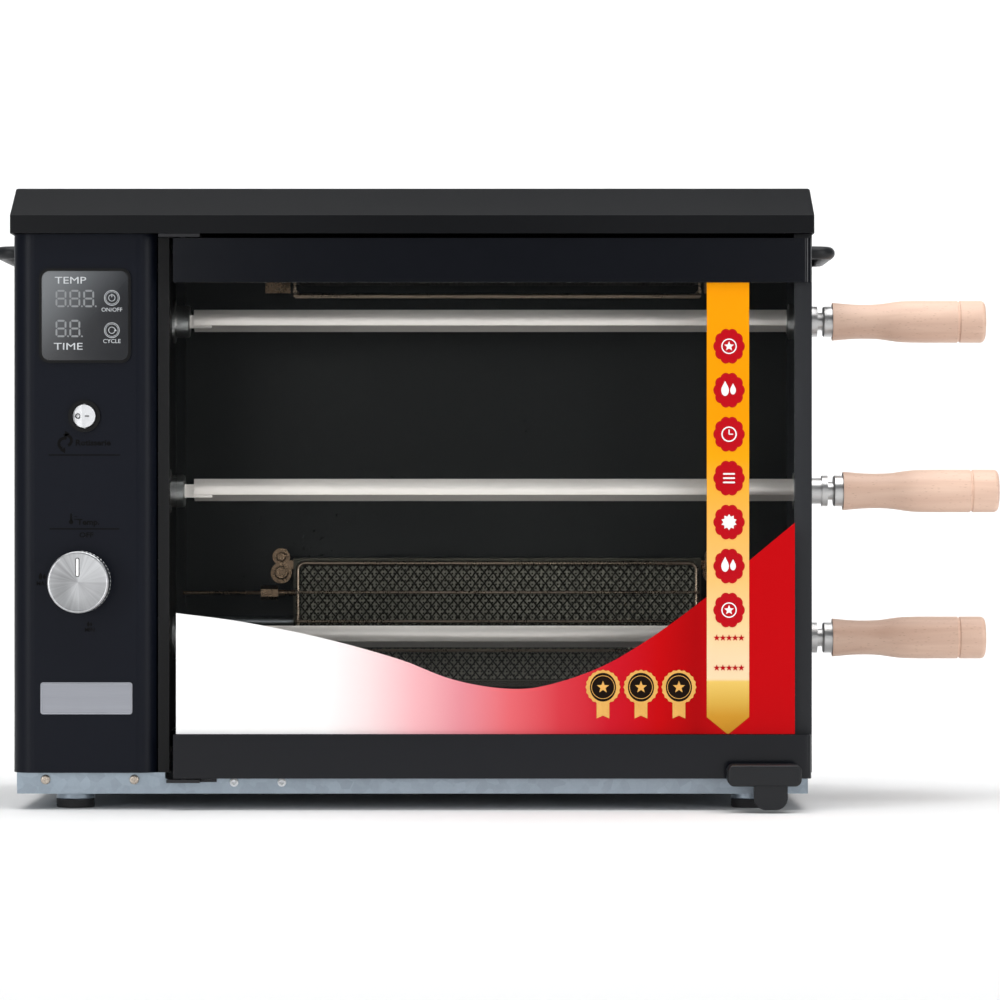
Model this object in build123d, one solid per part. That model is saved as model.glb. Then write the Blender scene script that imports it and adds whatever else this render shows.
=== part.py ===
from build123d import *
import math
import os

# Table-top rotisserie oven: a sheet-metal body with a control box at the left, a glass door hinged
# at the left, three driven skewers and two rear burners. Millimetres, +Z up, the front faces -Y, and
# the origin is on the floor under the middle of the overall box.

# Overall box
half_length = 388
half_depth = 200

# Body
body_left = -363.4
body_right = 238
housing_front = -160
frame_front = -153
rear_face = 174
sheet = 0.8
base_bottom = 12
base_top = 27
rail_top = 23.2
shell_bottom = 28
shell_top = 433
lid_front = -168
lid_shoulder = 446.5
lid_top = 469
lid_slope_run = 36
lid_end_run = 1.2

# Feet, carry handles and door clearance
foot_places = [(x, y) for x in (-319, 193) for y in (-122, 138)]
foot_radius = 14.5
pad_height = 6.5
handle_reach = 24.6
handle_half = 62
handle_z = 424

# Control box
box_right = -253.3
housing_corner = 17
control_x = -312
switch_x = -309
display_size = (69, 71)
display_centre = (-308.5, 371.5)
switch_z = 296
switch_bore = 9.3
knob_z = 171.5
knob_radius = 23.2
knob_front = -181
stem_radius = 4
rocker_tilt = 8
trunnion = (1.2, 10.2)
pipe_radius = 4
pipe_passes = ((128, 134), (118, 421))

# Cavity
cavity_back = 142
cavity_floor = 46
cavity_ceiling = 427
right_flange = 224.5
burner_x = (-164, 166)
lower_burner_y = (112, cavity_back - sheet)
lower_burner_z = (82, 186)
upper_burner_y = (38, 128)
upper_burner_z = (408, 436)
tile_depth = 8
tile_count = 3
burner_lip = 5
wire_radius = 1.6
cross_radius = 1.2
cross_offset = 2.5
guard_stand = 9

# Door
door_left = -242
door_right = 237
door_front = -166
door_back = -154
door_bottom = 24
door_top = 429.5
rail_height = 33
glass_right = 224.5
glass_y = (-163, -159)
hinge_x = -235
hinge_y = -160
pin_radius = 3

# Skewers: (name, y, z, how far the skewer stands out of its fully home place)
skewers = (("top", 0, 373, 0), ("middle", -60, 240, 4), ("bottom", 0, 125, 0))
blade_outer = ((-1.4, 9.3), (-3.4, 3.6), (-2.4, -2.9))
blade_inner = ((-0.6, -1.6), (-1.8, 3.6), (0.2, 9.1))
blade_edge = ((5.8, -7.8), (6.6, -6.4))
collar_radius = 10
wood_start = 264
wood_radius = 16.5
hub_radius = 12.5
hub_end = -240
socket_size = (11, 5)
bush_radius = 14
tongue_size = (10.2, 4)
tongue_tip = -272
blade_start = hub_end + 3
collar_start = 228
flange_x = (247.5, 252)

# Gear train: involute gears of one module in one plane beside the partition
module = 1.5
pressure_angle = math.radians(20)
backlash = 0.3
spindle_teeth = 44
upper_idler_teeth = 54
lower_idler_teeth = 43
pinion_teeth = 18
gear_x = (-286, -278)
shaft_radius = 5
idler_shaft_radius = 4
running_gap = 0.05


def block(x, y, z):
    """A box between two values on each axis."""
    middle = [(low + high) / 2 for low, high in (x, y, z)]
    return Pos(*middle) * Box(x[1] - x[0], y[1] - y[0], z[1] - z[0])


def bar_x(x, y, z, radius):
    """A round bar along X."""
    return Pos((x[0] + x[1]) / 2, y, z) * Rot(0, 90, 0) * Cylinder(radius, x[1] - x[0])


def bar_y(x, y, z, radius):
    """A round bar along Y."""
    return Pos(x, (y[0] + y[1]) / 2, z) * Rot(90, 0, 0) * Cylinder(radius, y[1] - y[0])


def bar_z(x, y, z, radius):
    """A round bar along Z."""
    return Pos(x, y, (z[0] + z[1]) / 2) * Cylinder(radius, z[1] - z[0])


def joined(shapes):
    """Solids that touch or cross, fused into one."""
    shapes = list(shapes)
    result = shapes[0]
    for shape in shapes[1:]:
        result = result + shape
    return result


def group(shapes):
    """Separate solids kept in one node."""
    return Compound(children=list(shapes))


def turned_x(outline, y, z):
    """A solid turned about an X line, from (x, radius) corners."""
    start, end = outline[0][0], outline[-1][0]
    corners = [(start, 0), *outline, (end, 0)]
    face = make_face(Polyline(*corners, close=True))
    return Pos(0, y, z) * revolve(face, Axis.X)


def bent_rod(points, radius, bend):
    """A round wire or pipe along straight runs joined by arcs."""
    path = FilletPolyline(*points, radius=bend)
    start = Plane(origin=path @ 0, z_dir=path % 0)
    return sweep(start * Circle(radius), path=path)


# Base, feet and shell

def base_pan():
    """Galvanised pan with its rim upwards; the front wall is the pale rail under the door."""
    outer = block((body_left + 3, body_right - 3), (frame_front, rear_face - 2), (base_bottom, base_top))
    inner = block(
        (body_left + 3 + sheet, body_right - 3 - sheet),
        (frame_front + sheet, rear_face - 2 - sheet),
        (base_bottom + sheet, base_top + 1),
    )
    under_door = block((box_right, body_right), (frame_front - 1, frame_front + 5), (rail_top, base_top + 1))
    return outer - inner - under_door


def foot_cups():
    """A plate and a shallow steel cup for each foot."""
    cups = []
    for x, y in foot_places:
        plate = block((x - 26, x + 26), (y - 20, y + 20), (base_bottom - sheet, base_bottom))
        cup = bar_z(x, y, (pad_height, base_bottom - sheet), foot_radius)
        cups.append(plate + fillet(cup.edges().group_by(Axis.Z)[0], 1))
    return group(cups)


def foot_pads():
    """A ribbed rubber pad under each cup."""
    pads = []
    for x, y in foot_places:
        pad = bar_z(x, y, (0, pad_height), foot_radius)
        pad = fillet(pad.edges().group_by(Axis.Z)[0], 1.5)
        for z in (2.8, 4.6):
            core = bar_z(x, y, (z - 1, z + 1), foot_radius - 0.5)
            pad = pad - (bar_z(x, y, (z - 0.3, z + 0.3), foot_radius + 1) - core)
        pads.append(pad)
    return group(pads)


def control_housing():
    """Painted wrap of the control box: left side, round-cornered front and a short right return."""
    x = (body_left, box_right)
    y = (housing_front, rear_face - sheet)
    z = (shell_bottom, shell_top)
    outer = fillet(block(x, y, z).edges().filter_by(Axis.Z).group_by(Axis.Y)[0], housing_corner)
    inner = block(
        (x[0] + sheet, x[1] - sheet), (y[0] + sheet, y[1] + 1), (z[0] + sheet, z[1] - sheet)
    )
    inner = fillet(inner.edges().filter_by(Axis.Z).group_by(Axis.Y)[0], housing_corner - sheet)
    behind_return = block((x[1] - 2 * sheet, x[1] + 1), (frame_front, y[1] + 1), (z[0] - 1, z[1] + 1))
    shell = outer - inner - behind_return
    window_x, window_z = display_centre
    half_w, half_h = display_size[0] / 2 - 4, display_size[1] / 2 - 4
    window = block(
        (window_x - half_w, window_x + half_w), (y[0] - 1, y[0] + 5), (window_z - half_h, window_z + half_h)
    )
    shell = shell - window
    shell = shell - bar_y(switch_x, (y[0] - 1, y[0] + 5), switch_z, switch_bore + 1.5)
    shell = shell - bar_y(control_x, (y[0] - 1, y[0] + 5), knob_z, stem_radius + 2)
    for row in range(6):
        slot_z = 330 + 12 * row
        shell = shell - block((x[0] - 1, x[0] + 5), (60, 130), (slot_z, slot_z + 3))
    return shell


def lower_flange():
    """Galvanised tab under the control box, screwed to the front of the base pan."""
    tab = block((body_left + 3, box_right + 4.5), (frame_front - sheet, frame_front), (17.5, shell_bottom))
    corner = tab.edges().filter_by(Axis.Y).group_by(Axis.X)[-1].sort_by(Axis.Z)[0]
    return fillet(corner, 5)


def partition_wall():
    """Sheet between the control box and the cavity, with a hole for each drive hub."""
    x = (box_right - sheet, box_right)
    wall = block(x, (frame_front, rear_face - sheet), (shell_bottom, shell_top))
    for _, y, z, _ in skewers:
        wall = wall - bar_x((x[0] - 1, x[1] + 1), y, z, bush_radius)
    for y, z in pipe_passes:
        wall = wall - bar_x((x[0] - 1, x[1] + 1), y, z, pipe_radius + 1)
    return wall


def door_post():
    """Black post beside the door's hinge edge."""
    x = (box_right, box_right + 7.5)
    return block(x, (frame_front, frame_front + 14), (shell_bottom, door_top + 0.8))


def right_side_panel():
    """Right wall with an inward flange at the front and a round hole for each skewer."""
    wall = block((body_right - sheet, body_right), (frame_front, rear_face), (shell_bottom, shell_top))
    flange = block((right_flange, body_right), (frame_front, frame_front + sheet), (shell_bottom, shell_top))
    panel = wall + flange
    for _, y, z, _ in skewers:
        panel = panel - bar_x((body_right - 5, body_right + 5), y, z, 12)
    return panel


def rear_panel():
    """Back sheet with two fields of vent slots and the gas inlet hole."""
    x = (body_left, body_right - sheet)
    panel = block(x, (rear_face - sheet, rear_face), (shell_bottom, shell_top))
    for left in (-120, 60):
        for row in range(8):
            z = 300 + 12 * row
            panel = panel - block((left, left + 80), (rear_face - 5, rear_face + 5), (z, z + 3))
    return panel - bar_y(control_x, (rear_face - 5, rear_face + 5), knob_z, 7)


def top_cover():
    """Folded lid: an upright rim, a sloped front and slightly sloped ends."""
    def hip(inset):
        x = (body_left - 1 + inset, body_right + 1 - inset)
        y = (lid_front + inset, rear_face + 1.5 - inset)
        rim = block(x, y, (shell_top, lid_shoulder))
        middle_x, middle_y = (x[0] + x[1]) / 2, (y[0] + y[1]) / 2
        length, depth = x[1] - x[0], y[1] - y[0]
        shift = (lid_slope_run - lid_end_run) / 2
        foot = Pos(middle_x, middle_y, lid_shoulder) * Rectangle(length, depth)
        crown = Pos(middle_x, middle_y + shift, lid_top - inset) * Rectangle(
            length - 2 * lid_end_run, depth - lid_slope_run - lid_end_run)
        return rim + loft([foot, crown])
    return hip(0) - hip(sheet)


# Inside of the cavity

def cavity_liner():
    """One folded sheet: ceiling, back and floor of the cooking space."""
    x = (box_right, body_right - sheet)
    y = (frame_front + 16, cavity_back)
    outer = block(x, y, (cavity_floor - sheet, cavity_ceiling))
    inner = block((x[0] - 1, x[1] + 1), (y[0] - 1, y[1] - sheet), (cavity_floor, cavity_ceiling - sheet))
    liner = outer - inner
    hole_x = (burner_x[0] - 5, burner_x[1] + 5)
    hole_y = (upper_burner_y[0] - 3, upper_burner_y[1] + 3)
    return liner - block(hole_x, hole_y, (400, cavity_ceiling + 5))


def drip_tray():
    """Shallow enamelled tray on the cavity floor."""
    x = (box_right + 6, body_right - 16)
    y = (-130, 90)
    z = (cavity_floor, cavity_floor + 12)
    tray = block(x, y, z)
    tray = fillet(tray.edges().filter_by(Axis.Z), 10)
    hollow = block((x[0] + 1.5, x[1] - 1.5), (y[0] + 1.5, y[1] - 1.5), (z[0] + 1.5, z[1] + 1))
    return tray - fillet(hollow.edges().filter_by(Axis.Z), 8.5)


def grown(span, amount):
    """A (low, high) pair widened at both ends."""
    return (span[0] - amount, span[1] + amount)


def burner_tiles(y, z):
    """Ceramic tiles side by side along a burner, with a hairline joint between them."""
    low, high = grown(burner_x, -burner_lip)
    pitch = (high - low) / tile_count
    return group(
        block((low + i * pitch + 0.2, low + (i + 1) * pitch - 0.2), y, z) for i in range(tile_count)
    )


def lower_burner_box():
    """Folded steel plenum on the back of the cavity, open in front for the tiles."""
    y, z = lower_burner_y, lower_burner_z
    box = block(burner_x, y, z) - block(grown(burner_x, -sheet), grown(y, -sheet), grown(z, -sheet))
    return box - block(grown(burner_x, -burner_lip), (y[0] - 1, y[0] + 2), grown(z, -burner_lip))


def lower_ceramic_tiles():
    """Upright ceramic burner tiles that face the skewers."""
    front = lower_burner_y[0] + 0.5
    return burner_tiles((front, front + tile_depth), grown(lower_burner_z, -burner_lip))


def upper_burner_box():
    """Folded steel plenum let into the ceiling, open below for the tiles."""
    y, z = upper_burner_y, upper_burner_z
    box = block(burner_x, y, z) - block(grown(burner_x, -sheet), grown(y, -sheet), grown(z, -sheet))
    return box - block(grown(burner_x, -burner_lip), grown(y, -burner_lip), (z[0] - 1, z[0] + 2))


def upper_ceramic_tiles():
    """Ceramic burner tiles that face down on the top skewer."""
    face = upper_burner_z[0] + 0.5
    return burner_tiles(grown(upper_burner_y, -burner_lip), (face, face + tile_depth))


def lower_wire_guard():
    """Wire loop in front of the lower tiles, its ends held by the box, with three welded cross wires."""
    x = (burner_x[0] + 4, burner_x[1] - 4)
    y = lower_burner_y[0] - guard_stand
    z = (lower_burner_z[0] + 6, lower_burner_z[1] - 4)
    loop = bent_rod([(x[0], y, z[0]), (x[0], y, z[1]), (x[1], y, z[1]), (x[1], y, z[0])], wire_radius, 6)
    legs = [bar_y(end, (y - wire_radius, lower_burner_y[0]), z[0] + 2, cross_radius) for end in x]
    step = (z[1] - z[0]) / 4
    wires = [
        bar_x((x[0] - 2, x[1] + 2), y - cross_offset, z[0] + step * row, cross_radius) for row in (1, 2, 3)
    ]
    return joined([loop, *legs, *wires])


def upper_wire_guard():
    """Wire loop under the upper tiles, hung from the box, with two welded cross wires."""
    x = (burner_x[0] + 4, burner_x[1] - 4)
    y = (upper_burner_y[0] + 6, upper_burner_y[1] - 6)
    z = upper_burner_z[0] - guard_stand
    loop = bent_rod([(x[0], y[0], z), (x[0], y[1], z), (x[1], y[1], z), (x[1], y[0], z)], wire_radius, 5)
    legs = [bar_z(end, y[0] + 4, (z - wire_radius, upper_burner_z[0]), cross_radius) for end in x]
    step = (y[1] - y[0]) / 3
    wires = [
        bar_x((x[0] - 2, x[1] + 2), y[0] + step * row, z - cross_offset, cross_radius) for row in (1, 2)
    ]
    return joined([loop, *legs, *wires])


def burner_brackets():
    """Two-eyed steel link with its bolts at each end of the lower burner, and a tab with one bolt above."""
    brackets = []
    front = lower_burner_y[0] + 1
    for end, side in ((burner_x[0], -1), (burner_x[1], 1)):
        x, middle = sorted((end, end + side * 20)), end + side * 10
        link = block((middle - 3.5, middle + 3.5), (front + 2, front + 5), (174, 187))
        arm = block(sorted((end, middle)), (front + 3, front + 5), (177, 184))
        foot = block((middle - 3.5, middle + 3.5), (front + 5, cavity_back - sheet), (191, 193))
        pieces = [link, arm, foot]
        for z, radius in ((187, 7), (174, 8.5)):
            eye = bar_y(middle, (front + 2, front + 5), z, radius)
            groove = bar_y(middle, (front + 1, front + 3.5), z, radius - 1.6)
            bolt = bar_y(middle, (front, front + 5), z, radius - 3)
            pieces += [eye - groove, fillet(bolt.edges().group_by(Axis.Y)[0], 1.2)]
        brackets.append(joined(pieces))
        upper = block(x, (upper_burner_y[0] + 20, upper_burner_y[0] + 22), (398, cavity_ceiling - sheet))
        ring = bar_y(end + side * 10, (upper_burner_y[0] + 17, upper_burner_y[0] + 20), 406, 6)
        brackets.append(upper + ring)
    return group(brackets)


def igniter_rod():
    """Spark and flame-sensing rod: a thin rod, a hexagonal collar and a ceramic end."""
    y, z = lower_burner_y[0] - 4, 158
    rod = bar_x((box_right, -190), y, z, 1.5)
    collar = Pos(-183, y, z) * Rot(0, 90, 0) * extrude(RegularPolygon(6, 6), 7, both=True)
    tip = bar_x((-176, -160), y, z, 2.5)
    return joined([rod, collar, tip])


def side_handle(side):
    """Carry handle: a round grip on two short legs with feet."""
    wall = body_left if side < 0 else body_right
    grip_x = wall + side * (handle_reach - 5)
    ends = (-handle_half, handle_half)
    z = handle_z
    points = [(wall, ends[0], z), (grip_x, ends[0], z), (grip_x, ends[1], z), (wall, ends[1], z)]
    handle = bent_rod(points, 5, 12)
    feet = [block(sorted((wall, wall + side * 2)), (y - 9, y + 9), (z - 8, z + 8)) for y in ends]
    return joined([handle, *feet])


# Control box

def display_bezel():
    """Thin raised frame round the display."""
    x, z = display_centre
    w, h = display_size
    frame = block((x - w / 2, x + w / 2), (housing_front - 1.6, housing_front), (z - h / 2, z + h / 2))
    frame = fillet(frame.edges().filter_by(Axis.Y), 7.5)
    hole = block((x - w / 2 + 2, x + w / 2 - 2), (-170, -150), (z - h / 2 + 2, z + h / 2 - 2))
    return frame - fillet(hole.edges().filter_by(Axis.Y), 6)


def display_window():
    """Gloss black lens inside the bezel."""
    x, z = display_centre
    w, h = display_size[0] - 4, display_size[1] - 4
    lens = block((x - w / 2, x + w / 2), (housing_front - 1.2, housing_front), (z - h / 2, z + h / 2))
    return fillet(lens.edges().filter_by(Axis.Y), 6)


def switch_bezel():
    """Round snap-in body of the rocker switch with its rim and two terminals."""
    rim = bar_y(switch_x, (housing_front - 2, housing_front), switch_z, switch_bore + 2.7)
    body = bar_y(switch_x, (housing_front, housing_front + 16), switch_z, switch_bore + 1.4)
    bore = bar_y(switch_x, (housing_front - 5, housing_front + 13), switch_z, switch_bore)
    pins = [
        block((x - 0.4, x + 0.4), (housing_front + 16, housing_front + 24), (switch_z - 2.4, switch_z + 2.4))
        for x in (switch_x - 5, switch_x + 5)
    ]
    pivot = bar_z(switch_x, housing_front + 1, (switch_z - 10.4, switch_z + 10.4), trunnion[0] + running_gap)
    return joined([rim + body - bore - pivot, *pins])


def switch_rocker():
    """Round rocker with two sloped faces and an upright trunnion, at rest with its left side pressed in."""
    radius = switch_bore - 0.7
    disc = bar_y(0, (-3, 3), 0, radius)
    wedges = [
        Pos(side * radius, -3, 0) * Rot(0, 0, side * rocker_tilt) * Box(2 * radius, 2, 30)
        for side in (-1, 1)
    ]
    for wedge in wedges:
        disc = disc - wedge
    disc = disc + bar_z(0, 0, (-trunnion[1], trunnion[1]), trunnion[0])
    return Pos(switch_x, housing_front + 1, switch_z) * Rot(0, 0, -rocker_tilt) * disc


def valve_body():
    """Brass gas valve behind the knob."""
    body = block((control_x - 12, control_x + 12), (-140, -104), (knob_z - 12, knob_z + 12))
    nose = bar_y(control_x, (-152, -140), knob_z, 9)
    bore = bar_y(control_x, (-160, -126), knob_z, stem_radius + running_gap)
    return body + nose - bore


def valve_stem():
    """Steel valve stem with a flat on its outer end."""
    stem = bar_y(control_x, (-172, -126.5), knob_z, stem_radius)
    flat = block((control_x + 2.5, control_x + 6), (-173, -164), (knob_z - 6, knob_z + 6))
    return stem - flat


def control_knob():
    """Metal-capped knob with a chamfered rim and a raised grip of the full diameter."""
    knob = bar_y(control_x, (knob_front, housing_front - 4), knob_z, knob_radius)
    knob = chamfer(knob.edges().group_by(Axis.Y)[0], 1.6)
    bore = bar_y(control_x, (-176, housing_front), knob_z, stem_radius + running_gap)
    flat = block((control_x + 2.6, control_x + 6), (-177, -168), (knob_z - 6, knob_z + 6))
    return knob - (bore - flat)


def gas_inlet():
    """Inlet fitting: a lock nut, a hose nipple with barbs outside and a straight pipe to the valve."""
    pipe = bar_y(control_x, (-104, rear_face - 6), knob_z, pipe_radius)
    nut = Pos(control_x, rear_face - 6, knob_z) * Rot(90, 0, 0) * extrude(RegularPolygon(10, 6), -4.8)
    shank = bar_y(control_x, (rear_face - 6, half_depth), knob_z, pipe_radius)
    outer_nut = Pos(control_x, rear_face, knob_z) * Rot(90, 0, 0) * extrude(RegularPolygon(9, 6), -6)
    barbs = [
        Pos(control_x, half_depth - 7 * (i + 1) + 3, knob_z) * Rot(-90, 0, 0) * Cone(5, pipe_radius, 6)
        for i in range(2)
    ]
    return joined([pipe, nut, shank, outer_nut, *barbs])


def gas_manifold():
    """Brazed pipe from the valve to the rear, with a riser and a branch to each burner."""
    x = control_x - 22
    feed = bent_rod([(control_x - 12, -122, knob_z), (x, -122, knob_z), (x, 128, knob_z)], pipe_radius, 8)
    (low_y, low_z), (high_y, high_z) = pipe_passes
    lower = bent_rod(
        [(x, low_y, high_z - 120), (x, low_y, low_z), (burner_x[0], low_y, low_z)], pipe_radius, 16,
    )
    upper = bent_rod(
        [(x, low_y, low_z + 60), (x, low_y, high_z), (x + 30, high_y, high_z), (burner_x[0], high_y, high_z)],
        pipe_radius, 9,
    )
    return joined([feed, lower, upper])


# Gear train

def crossing(first, second, first_distance, second_distance, side):
    """The point at given distances from two (y, z) points, on one side of their line."""
    span = math.dist(first, second)
    along = (first_distance**2 - second_distance**2 + span**2) / (2 * span)
    off = side * math.sqrt(first_distance**2 - along**2)
    ey, ez = [(b - a) / span for a, b in zip(first, second)]
    return (first[0] + along * ey - off * ez, first[1] + along * ez + off * ey)


def pitch_radius(teeth):
    return module * teeth / 2


spindle_axes = {name: (y, z) for name, y, z, _ in skewers}
mesh_upper = pitch_radius(spindle_teeth) + pitch_radius(upper_idler_teeth)
mesh_lower = pitch_radius(spindle_teeth) + pitch_radius(lower_idler_teeth)
upper_idler = crossing(spindle_axes["top"], spindle_axes["middle"], mesh_upper, mesh_upper, -1)
lower_idler = crossing(spindle_axes["middle"], spindle_axes["bottom"], mesh_lower, mesh_lower, -1)
pinion_direction = math.radians(-10)
pinion_reach = pitch_radius(upper_idler_teeth) + pitch_radius(pinion_teeth)
pinion_axis = (
    upper_idler[0] + pinion_reach * math.cos(pinion_direction),
    upper_idler[1] + pinion_reach * math.sin(pinion_direction),
)


def involute(angle):
    return math.tan(angle) - angle


def flank_angle(teeth, radius):
    """Half of the angle that a tooth fills at a radius."""
    pitch = pitch_radius(teeth)
    base = pitch * math.cos(pressure_angle)
    at_pitch = math.pi / (2 * teeth) - backlash / (4 * pitch)
    here = math.acos(min(1, base / radius))
    return at_pitch + involute(pressure_angle) - involute(here)


def gear_outline(teeth):
    """Corner points of an involute spur gear, with a tooth centred on angle zero."""
    pitch = pitch_radius(teeth)
    root, tip = pitch - 1.25 * module, pitch + module
    radii = [root, max(root + 0.4, pitch - 0.5 * module), pitch, pitch + 0.55 * module, tip]
    points = []
    for tooth in range(teeth):
        centre = 2 * math.pi * tooth / teeth
        flank = [(radius, flank_angle(teeth, radius)) for radius in radii]
        rising = [(radius, centre - half) for radius, half in flank]
        falling = [(radius, centre + half) for radius, half in reversed(flank)]
        points += [(radius * math.cos(angle), radius * math.sin(angle)) for radius, angle in rising + falling]
    return points


def gear(teeth, centre, phase, bore):
    """A spur gear about X; phase turns the tooth on angle zero, measured from +Y towards +Z."""
    blank = make_face(Polyline(*gear_outline(teeth), close=True)) - Circle(bore)
    solid = extrude(blank, gear_x[1] - gear_x[0])
    return Pos(gear_x[0], *centre) * Rot(X=90) * Rot(Y=90) * Rot(Z=math.degrees(phase)) * solid


def meshed_phase(driver_teeth, driver_centre, driver_phase, teeth, centre):
    """Phase that puts a gap of the new gear on the driver's tooth along the line of centres."""
    line = math.atan2(centre[1] - driver_centre[1], centre[0] - driver_centre[0])
    driver_offset = (line - driver_phase) * driver_teeth
    back = line + math.pi
    return back + (driver_offset + math.pi) / teeth


top_phase = 0.0
upper_idler_phase = meshed_phase(
    spindle_teeth, spindle_axes["top"], top_phase, upper_idler_teeth, upper_idler)
middle_phase = meshed_phase(
    upper_idler_teeth, upper_idler, upper_idler_phase, spindle_teeth, spindle_axes["middle"])
lower_idler_phase = meshed_phase(
    spindle_teeth, spindle_axes["middle"], middle_phase, lower_idler_teeth, lower_idler)
bottom_phase = meshed_phase(
    lower_idler_teeth, lower_idler, lower_idler_phase, spindle_teeth, spindle_axes["bottom"])
pinion_phase = meshed_phase(
    upper_idler_teeth, upper_idler, upper_idler_phase, pinion_teeth, pinion_axis)
spindle_phases = {"top": top_phase, "middle": middle_phase, "bottom": bottom_phase}


def drive_hub(y, z):
    """Drive spindle: a hub in the cavity, a shaft through the gear and a through slot for the blade."""
    profile = [
        (gear_x[0] - 2, shaft_radius + 3.5), (gear_x[1] + 4, shaft_radius + 3.5), (gear_x[1] + 4, 11),
        (box_right + 3, 11), (box_right + 3, hub_radius), (hub_end - 1, hub_radius),
        (hub_end, hub_radius - 1),
    ]
    hub = turned_x(profile, y, z)
    width, thickness = socket_size
    slot = block(
        (gear_x[0] + 2, hub_end + 1), (y - thickness / 2, y + thickness / 2), (z - width / 2, z + width / 2)
    )
    return hub - slot


def spindle_gear(name):
    return gear(spindle_teeth, spindle_axes[name], spindle_phases[name], shaft_radius + 3.5)


def spindle_bushes():
    """Flanged bearing of each drive hub in the partition wall."""
    bushes = []
    for _, y, z, _ in skewers:
        body = bar_x((box_right - sheet - 4, box_right + 2), y, z, bush_radius)
        flange = bar_x((box_right, box_right + 2), y, z, bush_radius + 3)
        bore = bar_x((box_right - 20, box_right + 20), y, z, 11 + running_gap)
        bushes.append(body + flange - bore)
    return group(bushes)


def idler_posts():
    """Pins riveted to the partition, on which the idlers turn, with a retaining head."""
    posts = []
    for y, z in (upper_idler, lower_idler):
        pin = bar_x((gear_x[0] - 2, box_right - sheet), y, z, idler_shaft_radius)
        head = bar_x((gear_x[0] - 3.5, gear_x[0] - 0.5), y, z, idler_shaft_radius + 2)
        shoulder = bar_x((gear_x[1] + 0.5, box_right - sheet), y, z, idler_shaft_radius + 4)
        posts.append(joined([pin, head, shoulder]))
    return group(posts)


def gear_motor():
    """Flat gear motor on two stand-off posts from the partition."""
    y, z = pinion_axis
    x_back = gear_x[0] - 4
    body = bar_x((x_back - 26, x_back - 2), y, z, 25)
    plate = block((x_back - 2, x_back), (y - 8, y + 8), (z - 40, z + 40))
    posts = [bar_x((x_back, box_right - sheet), y, z + offset, 4) for offset in (-34, 34)]
    shaft_hole = bar_x((x_back - 14, x_back + 5), y, z, 3 + running_gap)
    return joined([body, plate, *posts]) - shaft_hole


def motor_pinion():
    """Pinion on the motor's output shaft."""
    y, z = pinion_axis
    shaft = bar_x((gear_x[0] - 14, gear_x[1] + 2), y, z, 3)
    return gear(pinion_teeth, pinion_axis, pinion_phase, 3) + shaft


# Skewers

def skewer_blade(y, z, out):
    """Angle-section stainless blade, its upper flange bowed, with a flat pointed tongue for the hub."""
    lower_flange_line = Polyline(blade_outer[-1], *blade_edge, blade_inner[0])
    tip_line = Line(blade_inner[-1], blade_outer[0])
    outline = make_face(Curve() + [
        ThreePointArc(*blade_outer), lower_flange_line, ThreePointArc(*blade_inner), tip_line])
    section = Plane((blade_start, 0, 0), x_dir=(0, 1, 0), z_dir=(1, 0, 0)) * outline
    blade = extrude(section, collar_start - blade_start)
    width, thickness = tongue_size
    tongue_corners = [
        (blade_start + 14, -width / 2), (tongue_tip + 12, -width / 2), (tongue_tip, -1),
        (tongue_tip, 1), (tongue_tip + 12, width / 2), (blade_start + 14, width / 2),
    ]
    flat = Plane((0, thickness / 2, 0), x_dir=(1, 0, 0), z_dir=(0, -1, 0)) * make_face(
        Polyline(*tongue_corners, close=True))
    return Pos(out, y, z) * (blade + extrude(flat, thickness))


def skewer_collar(y, z, out):
    """Turned steel piece: journal in the wall bush, stop flange, neck and the handle's ferrule."""
    profile = [
        (collar_start, collar_radius - 0.8), (collar_start + 0.8, collar_radius),
        (flange_x[0], collar_radius), (flange_x[0], 12), (flange_x[1], 12), (flange_x[1], 7),
        (wood_start - 7.5, 7),
        (wood_start - 7.5, 11), (wood_start - 6.5, 12), (wood_start, 12),
    ]
    return Pos(out, 0, 0) * turned_x(profile, y, z)


def skewer_handle(y, z, out):
    """Turned beech handle with a waist, a groove and a rounded butt."""
    butt = wood_start + 120
    waist = Spline(
        (wood_start, 14.9), (wood_start + 4, 14.6), (wood_start + 11.5, 13.9), (wood_start + 26.5, 13.4),
        (wood_start + 37.5, 13.9), (wood_start + 51, 15.8), (wood_start + 62, wood_radius - 0.1),
        (wood_start + 80, wood_radius),
    )
    groove = Polyline(
        (wood_start + 80, wood_radius), (butt - 22, wood_radius), (butt - 21.4, wood_radius - 0.8),
        (butt - 20.4, wood_radius - 0.8), (butt - 19.8, wood_radius), (butt - 4, wood_radius),
    )
    round_end = TangentArc((butt - 4, wood_radius), (butt, wood_radius - 4), tangent=(1, 0))
    close = Polyline((butt, wood_radius - 4), (butt, 0), (wood_start, 0), (wood_start, 14.9))
    face = make_face(Curve() + [waist, groove, round_end, close])
    return Pos(out, y, z) * revolve(face, Axis.X)


def skewer_bushes():
    """Flanged plain bearing in the right wall for each skewer's journal."""
    bushes = []
    for _, y, z, _ in skewers:
        body = bar_x((229.5, body_right + 2.5), y, z, 12)
        inner_flange = bar_x((229.5, body_right - sheet), y, z, 14) - bar_x((231.5, body_right), y, z, 12.5)
        outer_flange = bar_x((body_right, body_right + 2.5), y, z, 15)
        bore = bar_x((220, 250), y, z, collar_radius + 0.3)
        bushes.append(joined([body, inner_flange, outer_flange]) - bore)
    return group(bushes)


# Door

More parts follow.
